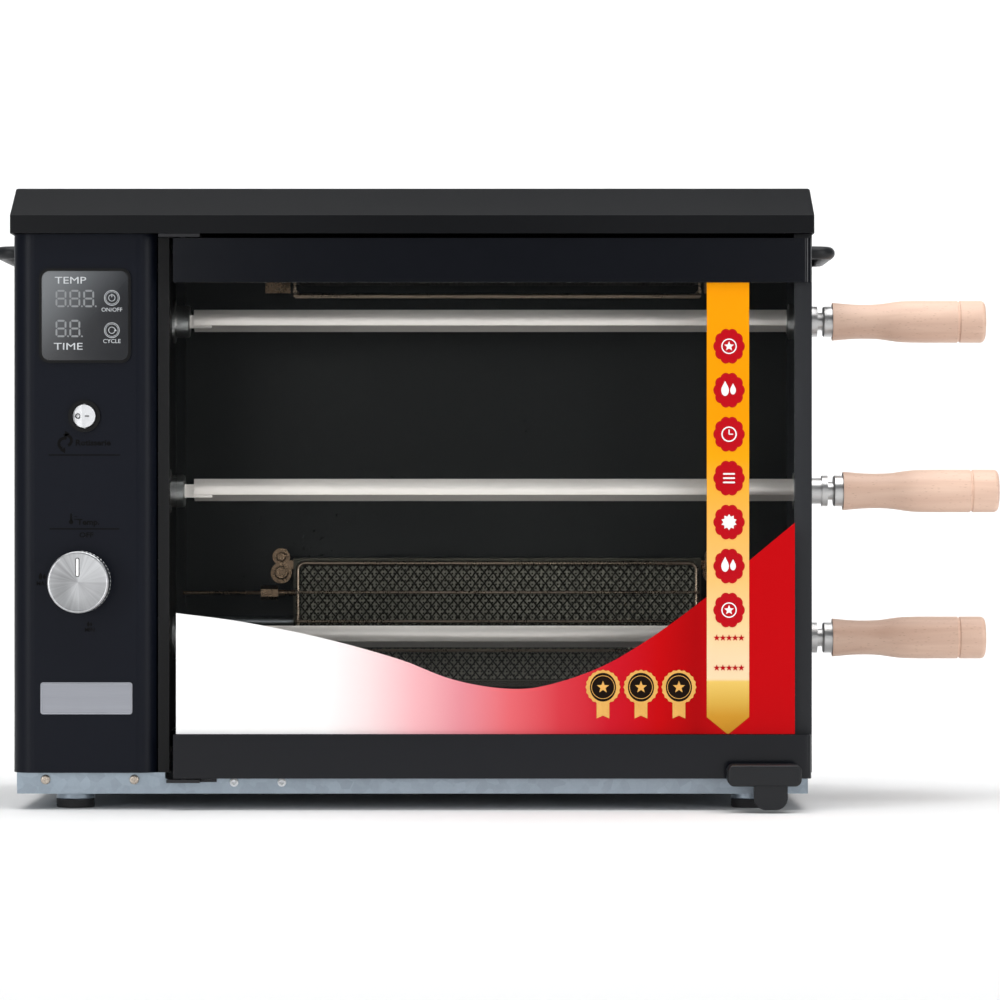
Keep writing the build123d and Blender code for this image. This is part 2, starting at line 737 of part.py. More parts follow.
def door_rail(bottom, opening_up):
    """Hollow rail across the door with closed ends and a slot that takes the glass."""
    wall = 1.5
    x, y, z = (door_left, door_right), (door_front, door_back), (bottom, bottom + rail_height)
    rail = block(x, y, z)
    rail = fillet(rail.edges().filter_by(Axis.Z).group_by(Axis.X)[-1].sort_by(Axis.Y)[0], 5)
    hollow = block((x[0] + wall, x[1] - wall - 5), (y[0] + wall, y[1] - wall), (z[0] + wall, z[1] - wall))
    slot_z = (z[1] - wall - 1, z[1] + 1) if opening_up else (z[0] - 1, z[0] + wall + 1)
    slot = block((x[0] - 1, glass_right), glass_y, slot_z)
    pin_hole = bar_z(hinge_x, hinge_y, (z[0] - 1, z[1] + 1), pin_radius + running_gap)
    outer_half = (z[0] - 1, z[0] + 5) if opening_up else (z[1] - 5, z[1] + 1)
    return rail - hollow - slot - (pin_hole & block((-260, -200), (-200, -100), outer_half))


def door_glass():
    """Clear tempered pane with its upper and lower edge held in the rails."""
    return block((door_left + 2, glass_right), glass_y, (door_bottom + 20, door_top - 20))


def door_handle():
    """Moulded pull at the free corner: a bar standing off the rail and a tongue that hangs below it."""
    bar = block((172.5, 227.5), (-half_depth, -178), (20, 36))
    bar = fillet(bar.edges().filter_by(Axis.Y), 5)
    bar = fillet(bar.faces().sort_by(Axis.Y)[0].edges(), 2)
    tongue = block((192, 217), (-half_depth + 1, -190), (2.5, 26))
    tongue = fillet(tongue.edges().filter_by(Axis.Y).group_by(Axis.Z)[0], 9)
    stem = block((180, 220), (-180, door_front), (25, 35))
    return joined([bar, tongue, stem])


def hinge_brackets():
    """Upper and lower hinge leaf, each a plate with an upright pin for the door."""
    lower_z = (door_bottom - 3.2, door_bottom - 0.8)
    upper_z = (door_top + 0.8, door_top + 3.2)
    lower_plate = block((-247, -222), (-168, frame_front), lower_z)
    lower_leaf = block((-244, -210), (frame_front - 2.4, frame_front), lower_z)
    lower_pin = bar_z(hinge_x, hinge_y, (lower_z[0], lower_z[1] + 14), pin_radius)
    upper_plate = block((-253, -222), (-168, frame_front + 14), upper_z)
    upper_pin = bar_z(hinge_x, hinge_y, (upper_z[0] - 14, upper_z[1]), pin_radius)
    return group([joined([lower_plate, lower_leaf, lower_pin]), upper_plate + upper_pin])


# Trim

def nameplate():
    """Blank metal plate under the knob."""
    plate = block((-342, -273), (housing_front - 0.8, housing_front), (72, 96))
    return fillet(plate.edges().filter_by(Axis.Y), 2)


def housing_screws():
    """Cross-recess screws through the lower flange, heads outwards."""
    screws = []
    for x in (-338.8, -272):
        head = bar_y(x, (frame_front - sheet - 2.4, frame_front - sheet), 22.6, 3.6)
        head = fillet(head.edges().group_by(Axis.Y)[0], 1.5)
        across = block((x - 2, x + 2), (-158, -155.3), (22.2, 23))
        upright = block((x - 0.4, x + 0.4), (-158, -155.3), (20.6, 24.6))
        screws.append(head - across - upright)
    return group(screws)


nodes = {
    "base_pan": base_pan(),
    "foot_cups": foot_cups(),
    "foot_pads": foot_pads(),
    "control_housing": control_housing(),
    "lower_flange": lower_flange(),
    "partition_wall": partition_wall(),
    "door_post": door_post(),
    "right_side_panel": right_side_panel(),
    "rear_panel": rear_panel(),
    "top_cover": top_cover(),
    "cavity_liner": cavity_liner(),
    "drip_tray": drip_tray(),
    "lower_burner_box": lower_burner_box(),
    "lower_ceramic_tiles": lower_ceramic_tiles(),
    "lower_wire_guard": lower_wire_guard(),
    "upper_burner_box": upper_burner_box(),
    "upper_ceramic_tiles": upper_ceramic_tiles(),
    "upper_wire_guard": upper_wire_guard(),
    "burner_brackets": burner_brackets(),
    "igniter_rod": igniter_rod(),
    "side_handle_left": side_handle(-1),
    "side_handle_right": side_handle(1),
    "display_bezel": display_bezel(),
    "display_window": display_window(),
    "switch_bezel": switch_bezel(),
    "switch_rocker": switch_rocker(),
    "valve_body": valve_body(),
    "valve_stem": valve_stem(),
    "control_knob": control_knob(),
    "gas_inlet": gas_inlet(),
    "gas_manifold": gas_manifold(),
    "spindle_bushes": spindle_bushes(),
    "skewer_bushes": skewer_bushes(),
    "idler_posts": idler_posts(),
    "gear_motor": gear_motor(),
    "motor_pinion": motor_pinion(),
    "upper_idler_gear": gear(
        upper_idler_teeth, upper_idler, upper_idler_phase, idler_shaft_radius + running_gap),
    "lower_idler_gear": gear(
        lower_idler_teeth, lower_idler, lower_idler_phase, idler_shaft_radius + running_gap),
    "hinge_brackets": hinge_brackets(),
    "door_bottom_rail": door_rail(door_bottom, True),
    "door_top_rail": door_rail(door_top - rail_height, False),
    "door_glass": door_glass(),
    "door_handle": door_handle(),
    "nameplate": nameplate(),
    "housing_screws": housing_screws(),
}

for name, y, z, out in skewers:
    nodes["spindle_gear_" + name] = spindle_gear(name)
    nodes["drive_hub_" + name] = drive_hub(y, z)
    nodes["skewer_blade_" + name] = skewer_blade(y, z, out)
    nodes["skewer_collar_" + name] = skewer_collar(y, z, out)
    nodes["skewer_handle_" + name] = skewer_handle(y, z, out)

os.makedirs("parts", exist_ok=True)
for node, shape in nodes.items():
    export_step(shape, "parts/" + node + ".step")

print("spindles and idlers (y, z):", spindle_axes, upper_idler, lower_idler, "pinion", pinion_axis)
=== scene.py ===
import math

import bmesh
import bpy
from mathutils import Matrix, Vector


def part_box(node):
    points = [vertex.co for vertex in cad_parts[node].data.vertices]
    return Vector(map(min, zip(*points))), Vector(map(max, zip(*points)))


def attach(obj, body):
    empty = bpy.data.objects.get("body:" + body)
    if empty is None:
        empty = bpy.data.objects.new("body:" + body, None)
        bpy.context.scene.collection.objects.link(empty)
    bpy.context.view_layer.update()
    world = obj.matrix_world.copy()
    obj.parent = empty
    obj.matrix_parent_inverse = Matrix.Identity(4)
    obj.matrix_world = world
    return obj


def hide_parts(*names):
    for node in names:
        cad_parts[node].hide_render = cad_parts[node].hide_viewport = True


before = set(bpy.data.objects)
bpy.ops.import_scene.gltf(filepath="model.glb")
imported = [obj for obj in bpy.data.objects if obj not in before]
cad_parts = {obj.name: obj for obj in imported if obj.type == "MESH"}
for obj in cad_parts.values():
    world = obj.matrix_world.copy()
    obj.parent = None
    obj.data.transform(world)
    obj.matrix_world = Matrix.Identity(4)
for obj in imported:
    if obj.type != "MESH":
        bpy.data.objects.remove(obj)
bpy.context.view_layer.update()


# Studio
# A white paper sweep under and behind the oven, clear from its rear side. One broad overhead light, two
# tall side lights and two weak front ones leave a soft upright highlight on the rounded control box.

def deselect():
    """Leave edit mode and select nothing, so that the next operator acts on the next piece only."""
    if bpy.context.object and bpy.context.object.mode != "OBJECT":
        bpy.ops.object.mode_set(mode="OBJECT")
    bpy.ops.object.select_all(action="DESELECT")


def pick(piece, kind, test):
    """In edit mode, select the faces, edges or vertices of a piece that pass a test."""
    bpy.ops.mesh.select_mode(type=kind)
    bpy.ops.mesh.select_all(action="DESELECT")
    mesh = bmesh.from_edit_mesh(piece.data)
    items = {"FACE": mesh.faces, "EDGE": mesh.edges, "VERT": mesh.verts}[kind]
    for item in items:
        if test(item):
            item.select_set(True)
    mesh.select_flush_mode()
    bmesh.update_edit_mesh(piece.data)


def link(owner, source, target):
    """Give an input of a material's or a group's node another node's output, or a plain value."""
    if isinstance(source, bpy.types.NodeSocket):
        getattr(owner, "node_tree", owner).links.new(source, target)
    else:
        target.default_value = source


def finish(name):
    """A new material and its Principled shader."""
    material = bpy.data.materials.new(name)
    material.use_nodes = True
    return material, material.node_tree.nodes["Principled BSDF"]


def add_node(owner, kind, **values):
    """A new node of a material or a group, with its inputs and settings by name."""
    node = getattr(owner, "node_tree", owner).nodes.new(kind)
    for key, value in values.items():
        if key in node.inputs:
            link(owner, value, node.inputs[key])
        else:
            setattr(node, key, value)
    return node


camera_data = bpy.data.cameras.new("camera")
camera_data.lens = 168
camera_data.sensor_width = 36
camera = bpy.data.objects.new("camera", camera_data)
camera.location = (0.0032, -3.666, 0.233)
camera.rotation_euler = (math.radians(90), 0, 0)
bpy.context.collection.objects.link(camera)
bpy.context.scene.camera = camera
bpy.context.scene.view_settings.view_transform = "Standard"

sweep_width, sweep_depth, sweep_height, sweep_bend = 14, 9, 6, 2
deselect()
bpy.ops.mesh.primitive_plane_add(size=1, location=(0, 0.3, 0))
sweep = bpy.context.object
sweep.name = "studio_sweep"
bpy.ops.object.mode_set(mode="EDIT")
bpy.ops.transform.resize(value=(sweep_width, sweep_depth, 1))
pick(sweep, "EDGE", lambda edge: all(vertex.co.y > 4 for vertex in edge.verts))
bpy.ops.mesh.extrude_region_move(TRANSFORM_OT_translate={"value": (0, 0, sweep_height)})
pick(sweep, "EDGE", lambda edge: all(vertex.co.y > 4 and vertex.co.z < 1 for vertex in edge.verts))
bpy.ops.mesh.bevel(offset=sweep_bend, segments=16)
deselect()
sweep.select_set(True)
bpy.ops.object.transform_apply()
bpy.ops.object.shade_smooth()
sweep_paper, shader = finish("sweep_paper")
shader.inputs["Base Color"].default_value = (0.86, 0.86, 0.86, 1)
shader.inputs["Roughness"].default_value = 0.9
see_through = add_node(sweep_paper, "ShaderNodeBsdfTransparent")
from_behind = add_node(sweep_paper, "ShaderNodeNewGeometry").outputs["Backfacing"]
paper_side = add_node(sweep_paper, "ShaderNodeMixShader", Fac=from_behind)
link(sweep_paper, shader.outputs[0], paper_side.inputs[1])
link(sweep_paper, see_through.outputs[0], paper_side.inputs[2])
link(sweep_paper, paper_side.outputs[0], sweep_paper.node_tree.nodes["Material Output"].inputs["Surface"])
sweep.data.materials.append(sweep_paper)


def soft_light(name, place, target, size, power):
    data = bpy.data.lights.new(name, "AREA")
    data.shape = "RECTANGLE"
    data.size, data.size_y = size
    data.energy = power
    lamp = bpy.data.objects.new(name, data)
    lamp.location = place
    lamp.rotation_euler = (Vector(target) - Vector(place)).to_track_quat("-Z", "Y").to_euler()
    bpy.context.collection.objects.link(lamp)


soft_light("overhead", (0, -0.35, 2.6), (0, 0.1, 0.3), (3.4, 2.4), 90)
soft_light("left_wall", (-2.0, -2.1, 0.8), (-0.2, 0, 0.25), (0.6, 1.6), 21)
soft_light("right_wall", (2.2, -1.9, 0.8), (0.1, 0, 0.25), (0.6, 1.6), 20)
soft_light("front_left", (-1.1, -3.9, 0.5), (0, 0, 0.25), (0.9, 1.2), 8)
soft_light("front_right", (1.15, -3.9, 0.5), (0, 0, 0.25), (0.9, 1.2), 8)
soft_light("backdrop_light", (0, 1.2, 2.8), (0, 4.5, 1.0), (5, 1), 150)

world = bpy.data.worlds.new("studio_air")
world.use_nodes = True
air = world.node_tree.nodes["Background"]
air.inputs["Color"].default_value = (0.92, 0.96, 1, 1)
air.inputs["Strength"].default_value = 0.16
bpy.context.scene.world = world


# Painted sheet metal
# The control box, lid and side wall are powder-coated steel: a faint orange peel, slight patches of
# gloss, and paint rubbed thin on the folds.

def group_tree(name, inputs, outputs):
    """An empty shader group with its named sockets; inputs are (name, socket type, default)."""
    tree = bpy.data.node_groups.new(name, "ShaderNodeTree")
    for label, kind, default in inputs:
        socket = tree.interface.new_socket(label, in_out="INPUT", socket_type=kind)
        socket.default_value = default
    for label, kind in outputs:
        tree.interface.new_socket(label, in_out="OUTPUT", socket_type=kind)
    return tree, tree.nodes.new("NodeGroupInput"), tree.nodes.new("NodeGroupOutput")


number, colour, vector = "NodeSocketFloat", "NodeSocketColor", "NodeSocketVector"


def maths(owner, operation, *values):
    """The result of a math node; values are numbers or other nodes' outputs."""
    node = add_node(owner, "ShaderNodeMath", operation=operation)
    for value, socket in zip(values, node.inputs):
        link(owner, value, socket)
    return node.outputs[0]


def between(owner, source, low, high, span=(0, 1)):
    """A value that runs from low to high while its source crosses the span."""
    spread = add_node(owner, "ShaderNodeMapRange", Value=source)
    for label, value in zip(("From Min", "From Max", "To Min", "To Max"), (*span, low, high)):
        link(owner, value, spread.inputs[label])
    return spread.outputs[0]


def blended(owner, factor, low, high):
    """Two colours, each a plain colour or a node's output, mixed by a mask."""
    mix = add_node(owner, "ShaderNodeMix", data_type="RGBA", Factor=factor)
    for source, socket in ((low, mix.inputs[6]), (high, mix.inputs[7])):
        link(owner, (*source, 1) if isinstance(source, tuple) else source, socket)
    return mix.outputs[2]


def object_place(owner):
    """Object coordinates, which move with the piece."""
    return add_node(owner, "ShaderNodeTexCoord").outputs["Object"]


def build_surface_group():
    """Patches of two tones, a range of roughness and a fine bump, each on its own scale."""
    tree, inside, outside = group_tree(
        "surface_breakup",
        [
            ("Tone A", colour, (0.1, 0.1, 0.1, 1)), ("Tone B", colour, (0.2, 0.2, 0.2, 1)),
            ("Stretch", vector, (1, 1, 1)), ("Patch Scale", number, 12), ("Grain Scale", number, 600),
            ("Rough Low", number, 0.3), ("Rough High", number, 0.5), ("Bump Depth", number, 0.00005),
        ],
        [("Color", colour), ("Roughness", number), ("Normal", vector)],
    )
    given = inside.outputs
    scaled = add_node(tree, "ShaderNodeVectorMath", operation="MULTIPLY")
    link(tree, object_place(tree), scaled.inputs[0])
    link(tree, given["Stretch"], scaled.inputs[1])
    place = scaled.outputs[0]
    patches, grain = [
        add_node(tree, "ShaderNodeTexNoise", Detail=detail, Scale=given[scale], Vector=place).outputs["Fac"]
        for detail, scale in ((4, "Patch Scale"), (3, "Grain Scale"))]
    both = maths(tree, "MULTIPLY_ADD", grain, 0.45, maths(tree, "MULTIPLY", patches, 0.55))
    rough = between(tree, both, given["Rough Low"], given["Rough High"], (0.3, 0.7))
    bump = add_node(tree, "ShaderNodeBump", Distance=given["Bump Depth"], Height=grain)
    link(tree, blended(tree, both, given["Tone A"], given["Tone B"]), outside.inputs["Color"])
    link(tree, rough, outside.inputs["Roughness"])
    link(tree, bump.outputs[0], outside.inputs["Normal"])
    return tree


def build_wear_group():
    """A mask that is 1 on sharp edges, broken up by noise."""
    tree, inside, outside = group_tree(
        "edge_wear", [("Width", number, 0.0008), ("Amount", number, 1.0)], [("Mask", number)])
    rounded = add_node(tree, "ShaderNodeBevel", samples=4, Radius=inside.outputs["Width"])
    facing = add_node(tree, "ShaderNodeVectorMath", operation="DOT_PRODUCT")
    link(tree, rounded.outputs[0], facing.inputs[0])
    link(tree, add_node(tree, "ShaderNodeNewGeometry").outputs["Normal"], facing.inputs[1])
    sharp = between(tree, facing.outputs["Value"], 0, 1, (0.98, 0.80))
    noise = add_node(tree, "ShaderNodeTexNoise", Scale=60, Detail=5, Vector=object_place(tree))
    broken = between(tree, noise.outputs["Fac"], 0, 1, (0.45, 0.65))
    mask = maths(tree, "MULTIPLY", maths(tree, "MULTIPLY", sharp, broken), inside.outputs["Amount"])
    link(tree, mask, outside.inputs["Mask"])
    return tree


surface_group = build_surface_group()
wear_group = build_wear_group()


def surfaced(
        name, tones, rough, bump, patch=12, grain=600, stretch=(1, 1, 1), worn=None, metallic=0.0,
        shine=0.5):
    """A finish made of the breakup group, with an optional worn tone on its edges."""
    material, shader = finish(name)
    breakup = add_node(material, "ShaderNodeGroup", node_tree=surface_group)
    values = {
        "Tone A": (*tones[0], 1), "Tone B": (*tones[1], 1), "Stretch": stretch, "Patch Scale": patch,
        "Grain Scale": grain, "Rough Low": rough[0], "Rough High": rough[1], "Bump Depth": bump,
    }
    for label, value in values.items():
        breakup.inputs[label].default_value = value
    tone = breakup.outputs["Color"]
    if worn:
        wear = add_node(material, "ShaderNodeGroup", node_tree=wear_group, Amount=worn[1])
        tone = blended(material, wear.outputs["Mask"], tone, worn[0])
    link(material, metallic, shader.inputs["Metallic"])
    link(material, shine, shader.inputs["Specular IOR Level"])
    link(material, tone, shader.inputs["Base Color"])
    link(material, breakup.outputs["Roughness"], shader.inputs["Roughness"])
    link(material, breakup.outputs["Normal"], shader.inputs["Normal"])
    return material


def dress(material, *nodes):
    """Give CAD nodes a finish."""
    for node in nodes:
        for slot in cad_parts[node].material_slots:
            slot.material = material


housing_paint = surfaced(
    "housing_paint", ((0.0026, 0.0036, 0.0078), (0.0042, 0.0056, 0.0104)), (0.34, 0.42), 0.00005,
    patch=6, grain=900, worn=((0.04, 0.045, 0.055), 0.3), shine=0.14)
dress(housing_paint, "control_housing")

lid_paint = surfaced(
    "lid_paint", ((0.0030, 0.0034, 0.0044), (0.0050, 0.0054, 0.0064)), (0.34, 0.42), 0.00005,
    patch=6, grain=900, worn=((0.04, 0.04, 0.045), 0.35), shine=0.12)
side_paint = surfaced(
    "side_paint", ((0.012, 0.013, 0.016), (0.017, 0.018, 0.021)), (0.38, 0.5), 0.00005,
    patch=6, grain=900, worn=((0.05, 0.05, 0.055), 0.35), shine=0.3)
dress(side_paint, "right_side_panel")
black_paint = surfaced(
    "black_paint", ((0.0015, 0.0015, 0.0018), (0.0035, 0.0035, 0.0040)), (0.5, 0.62), 0.00008,
    patch=9, grain=700, worn=((0.04, 0.04, 0.04), 0.3), shine=0.25)
dress(black_paint, "partition_wall", "door_post", "rear_panel")


# Lid
# Folded steel cover: an upright rim that laps over the body, a sloped front and nearly upright ends.
# The folds have a small radius, and the sheet edge is left open below.

def piece_done(piece, body, material, smooth=30):
    """Apply a piece's place, shade it, give it its finish and let it ride on a body."""
    deselect()
    piece.select_set(True)
    bpy.context.view_layer.objects.active = piece
    bpy.ops.object.transform_apply(location=True, rotation=True, scale=True)
    bpy.ops.object.shade_smooth_by_angle(angle=math.radians(smooth))
    piece.data.materials.clear()
    piece.data.materials.append(material)
    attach(piece, body)
    return piece


def cube(name, low, high):
    """A cube primitive between two corners, in edit mode, ready to be shaped."""
    deselect()
    middle = [(a + b) / 2 for a, b in zip(low, high)]
    bpy.ops.mesh.primitive_cube_add(size=1, location=middle)
    piece = bpy.context.object
    piece.name = name
    piece.scale = [b - a for a, b in zip(low, high)]
    bpy.ops.object.transform_apply(location=True, rotation=True, scale=True)
    bpy.ops.object.mode_set(mode="EDIT")
    return piece


lid_low, lid_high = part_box("top_cover")
lid_rim, lid_slope, lid_lean, lid_sheet, lid_fold = 0.0135, 0.036, 0.0012, 0.0012, 0.0016
lid = cube("lid_cover", lid_low, (lid_high[0], lid_high[1], lid_high[2] - 0.0001))
pick(lid, "FACE", lambda face: face.normal.z < -0.9)
bpy.ops.mesh.delete(type="FACE")
bpy.ops.mesh.select_all(action="SELECT")
bpy.ops.mesh.bisect(plane_co=(0, 0, lid_low[2] + lid_rim), plane_no=(0, 0, 1))
mesh = bmesh.from_edit_mesh(lid.data)
for vertex in mesh.verts:
    if vertex.co.z > lid_high[2] - 0.001:
        vertex.co.x -= math.copysign(lid_lean, vertex.co.x - (lid_low[0] + lid_high[0]) / 2)
        vertex.co.y += lid_slope if vertex.co.y < 0 else -lid_lean
bmesh.update_edit_mesh(lid.data)
pick(lid, "EDGE", lambda edge: edge.is_manifold and edge.calc_face_angle(0) > 0.1)
bpy.ops.mesh.bevel(offset=lid_fold, segments=3)
deselect()
bpy.context.view_layer.objects.active = lid
thick = lid.modifiers.new("sheet", "SOLIDIFY")
thick.thickness = lid_sheet
thick.offset = -1
bpy.ops.object.modifier_apply(modifier="sheet")
piece_done(lid, "frame", lid_paint)
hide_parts("top_cover")


# Galvanised base and screws
# The base pan, lower flange, foot cups and motor case are hot-dipped sheet with a fine spangle. Pop
# rivets and screws hold the shell.

def galvanised_finish():
    """Zinc coat: two tones broken up, under faint crystals."""
    material = surfaced(
        "galvanised", ((0.25, 0.30, 0.35), (0.38, 0.44, 0.50)), (0.32, 0.5), 0.00004,
        patch=20, grain=500, metallic=0.85)
    base = material.node_tree.nodes["Principled BSDF"].inputs["Base Color"]
    spangle = add_node(material, "ShaderNodeTexVoronoi", Scale=150, Vector=object_place(material))
    crystal = add_node(material, "ShaderNodeRGBToBW", Color=spangle.outputs["Color"])
    tone = blended(material, 0.10, base.links[0].from_socket, crystal.outputs[0])
    tone.node.blend_type = "OVERLAY"
    link(material, tone, base)
    return material


galvanised = galvanised_finish()
dress(galvanised, "base_pan", "lower_flange", "foot_cups", "gear_motor")
rubber = surfaced(
    "foot_rubber", ((0.010, 0.010, 0.012), (0.022, 0.022, 0.024)), (0.6, 0.8), 0.0001, grain=900)
dress(rubber, "foot_pads")
screw_metal = surfaced(
    "screw_metal", ((0.40, 0.34, 0.28), (0.62, 0.55, 0.48)), (0.22, 0.4), 0.00003, patch=300, metallic=0.8)
dress(screw_metal, "housing_screws")


def copies(first, places):
    """The piece itself and copies of it, each with its own mesh, moved by the given offsets."""
    pieces = [first]
    for index, offset in enumerate(places[1:], start=2):
        twin = first.copy()
        twin.data = first.data.copy()
        twin.name = "%s_%d" % (first.name, index)
        bpy.context.collection.objects.link(twin)
        twin.location = first.location + Vector(offset) - Vector(places[0])
        pieces.append(twin)
    return pieces


rivet_z, rivet_radius, rivet_dish = 0.0205, 0.0034, 0.0013
rivet_places = [(x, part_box("base_pan")[0][1], rivet_z) for x in (-0.197, -0.161)]
deselect()
bpy.ops.mesh.primitive_uv_sphere_add(
    segments=20, ring_count=10, radius=rivet_radius, location=rivet_places[0])
rivet = bpy.context.object
rivet.name = "base_rivet"
bpy.ops.object.mode_set(mode="EDIT")
bpy.ops.transform.resize(value=(1, 0.45, 1))
pick(rivet, "VERT", lambda vertex: (
    vertex.co.y < -0.0009 and math.hypot(vertex.co.x, vertex.co.z) < rivet_dish))
bpy.ops.transform.translate(value=(0, 0.0014, 0))
deselect()
rivet_steel = surfaced(
    "rivet_steel", ((0.80, 0.82, 0.84), (0.90, 0.92, 0.94)), (0.3, 0.36), 0.000002, patch=40, metallic=0.3)
for piece in copies(rivet, rivet_places):
    piece_done(piece, "frame", rivet_steel, smooth=50)


# Small pan-head screws of the rear panel and lid rim
# Black zinc screws with a cross recess: six along the top and bottom of the rear sheet, and two in
# each end of the lid's rim.

def pan_screw(name, place, normal, radius=0.0032):
    """A low domed head with a cross cut into it, facing along normal."""
    deselect()
    bpy.ops.mesh.primitive_cylinder_add(vertices=24, radius=radius, depth=0.0016)
    screw = bpy.context.object
    screw.name = name
    bpy.ops.object.mode_set(mode="EDIT")
    pick(screw, "FACE", lambda face: face.normal.z > 0.9)
    bpy.ops.mesh.bevel(offset=radius * 0.3, segments=3)
    deselect()
    for turn in (0, math.pi / 2):
        bpy.ops.mesh.primitive_cube_add(size=1, location=(0, 0, 0.0008), rotation=(0, 0, turn))
        cutter = bpy.context.object
        cutter.scale = (radius * 1.2, radius * 0.24, 0.0012)
        bpy.context.view_layer.objects.active = screw
        cut = screw.modifiers.new("recess", "BOOLEAN")
        cut.object = cutter
        bpy.ops.object.modifier_apply(modifier="recess")
        bpy.data.objects.remove(cutter)
        deselect()
    screw.rotation_euler = Vector(normal).to_track_quat("Z", "Y").to_euler()
    screw.location = Vector(place) + Vector(normal) * 0.0006
    return screw


black_zinc = surfaced(
    "black_zinc", ((0.016, 0.016, 0.018), (0.045, 0.045, 0.048)), (0.3, 0.5), 0.00003, metallic=0.8)
rear_low, rear_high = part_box("rear_panel")
rear_inset = 0.012
rim_z = lid_low[2] + lid_rim / 2
rear_columns = (rear_low[0] + rear_inset, (rear_low[0] + rear_high[0]) / 2, rear_high[0] - rear_inset)
rear_rows = (rear_low[2] + rear_inset, rear_high[2] - rear_inset)
screw_rows = [
    ("rear_screw", (0, 1, 0), [(x, rear_high[1], z) for x in rear_columns for z in rear_rows]),
    ("left_rim_screw", (-1, 0, 0), [(lid_low[0], y, rim_z) for y in (-0.12, 0.13)]),
    ("right_rim_screw", (1, 0, 0), [(lid_high[0], y, rim_z) for y in (-0.12, 0.13)]),
]
for name, normal, places in screw_rows:
    for piece in copies(pan_screw(name, places[0], normal), places):
        piece_done(piece, "frame", black_zinc)


# Carry handles and door pull
# Moulded nylon with a fine spark-eroded texture, paler on the edges that hands rub, screwed to the side
# walls and to the lower rail of the door.

moulded_black = surfaced(
    "moulded_black", ((0.007, 0.008, 0.010), (0.011, 0.012, 0.014)), (0.34, 0.52), 0.00008,
    patch=14, grain=1400, worn=((0.03, 0.03, 0.033), 0.4), shine=0.3)
dress(moulded_black, "side_handle_left", "side_handle_right", "door_handle")


# Display
# A gloss black lens in a thin bezel. Behind it two rows of seven-segment digits and the printed names
# and touch rings of the four functions, all in pale grey.

bezel_plastic = surfaced(
    "bezel_plastic", ((0.0015, 0.0015, 0.0018), (0.003, 0.003, 0.0033)), (0.25, 0.38), 0.00004,
    grain=900, shine=0.2)
dress(bezel_plastic, "display_bezel", "switch_bezel")


def gloss_black(name, tone, rough, coat):
    """Hard gloss finish: a dark ground with faint haze patches under a clear coat."""
    paler = tuple(1.5 * part for part in tone)
    material = surfaced(name, (tone, paler), rough, 0.000006, patch=3, grain=90)
    shader = material.node_tree.nodes["Principled BSDF"]
    shader.inputs["Coat Weight"].default_value = coat
    shader.inputs["Coat Roughness"].default_value = 0.03
    return material


lens_low, lens_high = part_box("display_window")


def lens_painted_sheen():
    """Gloss black back-printed lens with a painted sheen: its colour runs paler towards the upper left
    corner as a painted reflection.
    """
    material = gloss_black("display_lens", (0.004, 0.005, 0.006), (0.10, 0.16), 0.1)
    shader = material.node_tree.nodes["Principled BSDF"]
    split = add_node(material, "ShaderNodeSeparateXYZ", Vector=object_place(material))
    slant = maths(material, "SUBTRACT", split.outputs["Z"], split.outputs["X"])
    corner, reach = lens_high[2] - lens_low[0], 0.085
    share = between(material, slant, 0, 1, (corner - reach, corner))
    share.node.interpolation_type = "SMOOTHSTEP"
    # Painted sheen: the colour goes from black to pale grey towards the upper left corner and stands in for
    # a reflection on the lens.
    tone = blended(material, share, (0.004, 0.005, 0.008), (0.13, 0.14, 0.15))
    link(material, tone, shader.inputs["Base Color"])
    return material


display_lens = lens_painted_sheen()
dress(display_lens, "display_window")
pale_print = surfaced(
    "pale_print", ((0.50, 0.52, 0.54), (0.62, 0.64, 0.66)), (0.45, 0.6), 0.00001, grain=1500)
digit_print = surfaced(
    "digit_print", ((0.20, 0.21, 0.22), (0.27, 0.28, 0.29)), (0.45, 0.6), 0.00001, grain=1500)
dark_print = surfaced(
    "dark_print", ((0.0006, 0.0006, 0.0006), (0.001, 0.001, 0.001)), (0.5, 0.6), 0.00001,
    grain=1500, shine=0.1)


def join_pieces(name, pieces):
    """Several parts of one print or moulding, made one object."""
    deselect()
    for piece in pieces:
        piece.select_set(True)
    bpy.context.view_layer.objects.active = pieces[0]
    bpy.ops.object.join()
    pieces[0].name = name
    return pieces[0]


def plate(vertices, radius, centre, depth=0.0001, turn=0.0, stretch=(1, 1)):
    """A thin regular plate standing upright and facing the front: a disc, or a triangle."""
    deselect()
    bpy.ops.mesh.primitive_cylinder_add(
        vertices=vertices, radius=radius, depth=depth, location=centre, rotation=(math.pi / 2, turn, 0))
    piece = bpy.context.object
    bpy.ops.object.transform_apply(location=False, rotation=True, scale=False)
    piece.scale = (stretch[0], 1, stretch[1])
    return piece


def ring(radius, width, centre, depth=0.0001, vertices=40):
    """A thin flat ring that faces the front."""
    piece = plate(vertices, radius, centre, depth)
    hole = plate(vertices, radius - width, centre, depth * 4)
    deselect()
    bpy.context.view_layer.objects.active = piece
    cut = piece.modifiers.new("hole", "BOOLEAN")
    cut.object = hole
    bpy.ops.object.modifier_apply(modifier="hole")
    bpy.data.objects.remove(hole)
    return piece


def bar(centre, size):
    """A thin upright bar with chamfered corners, used for digit segments and printed strokes."""
    half = (size[0] / 2, 0.00005, size[1] / 2)
    piece = cube("stroke", [a - b for a, b in zip(centre, half)], [a + b for a, b in zip(centre, half)])
    pick(piece, "EDGE", lambda edge: abs(edge.verts[0].co.y - edge.verts[1].co.y) > 0.00005)
    bpy.ops.mesh.bevel(offset=min(size) * 0.42, segments=1)
    deselect()
    return piece


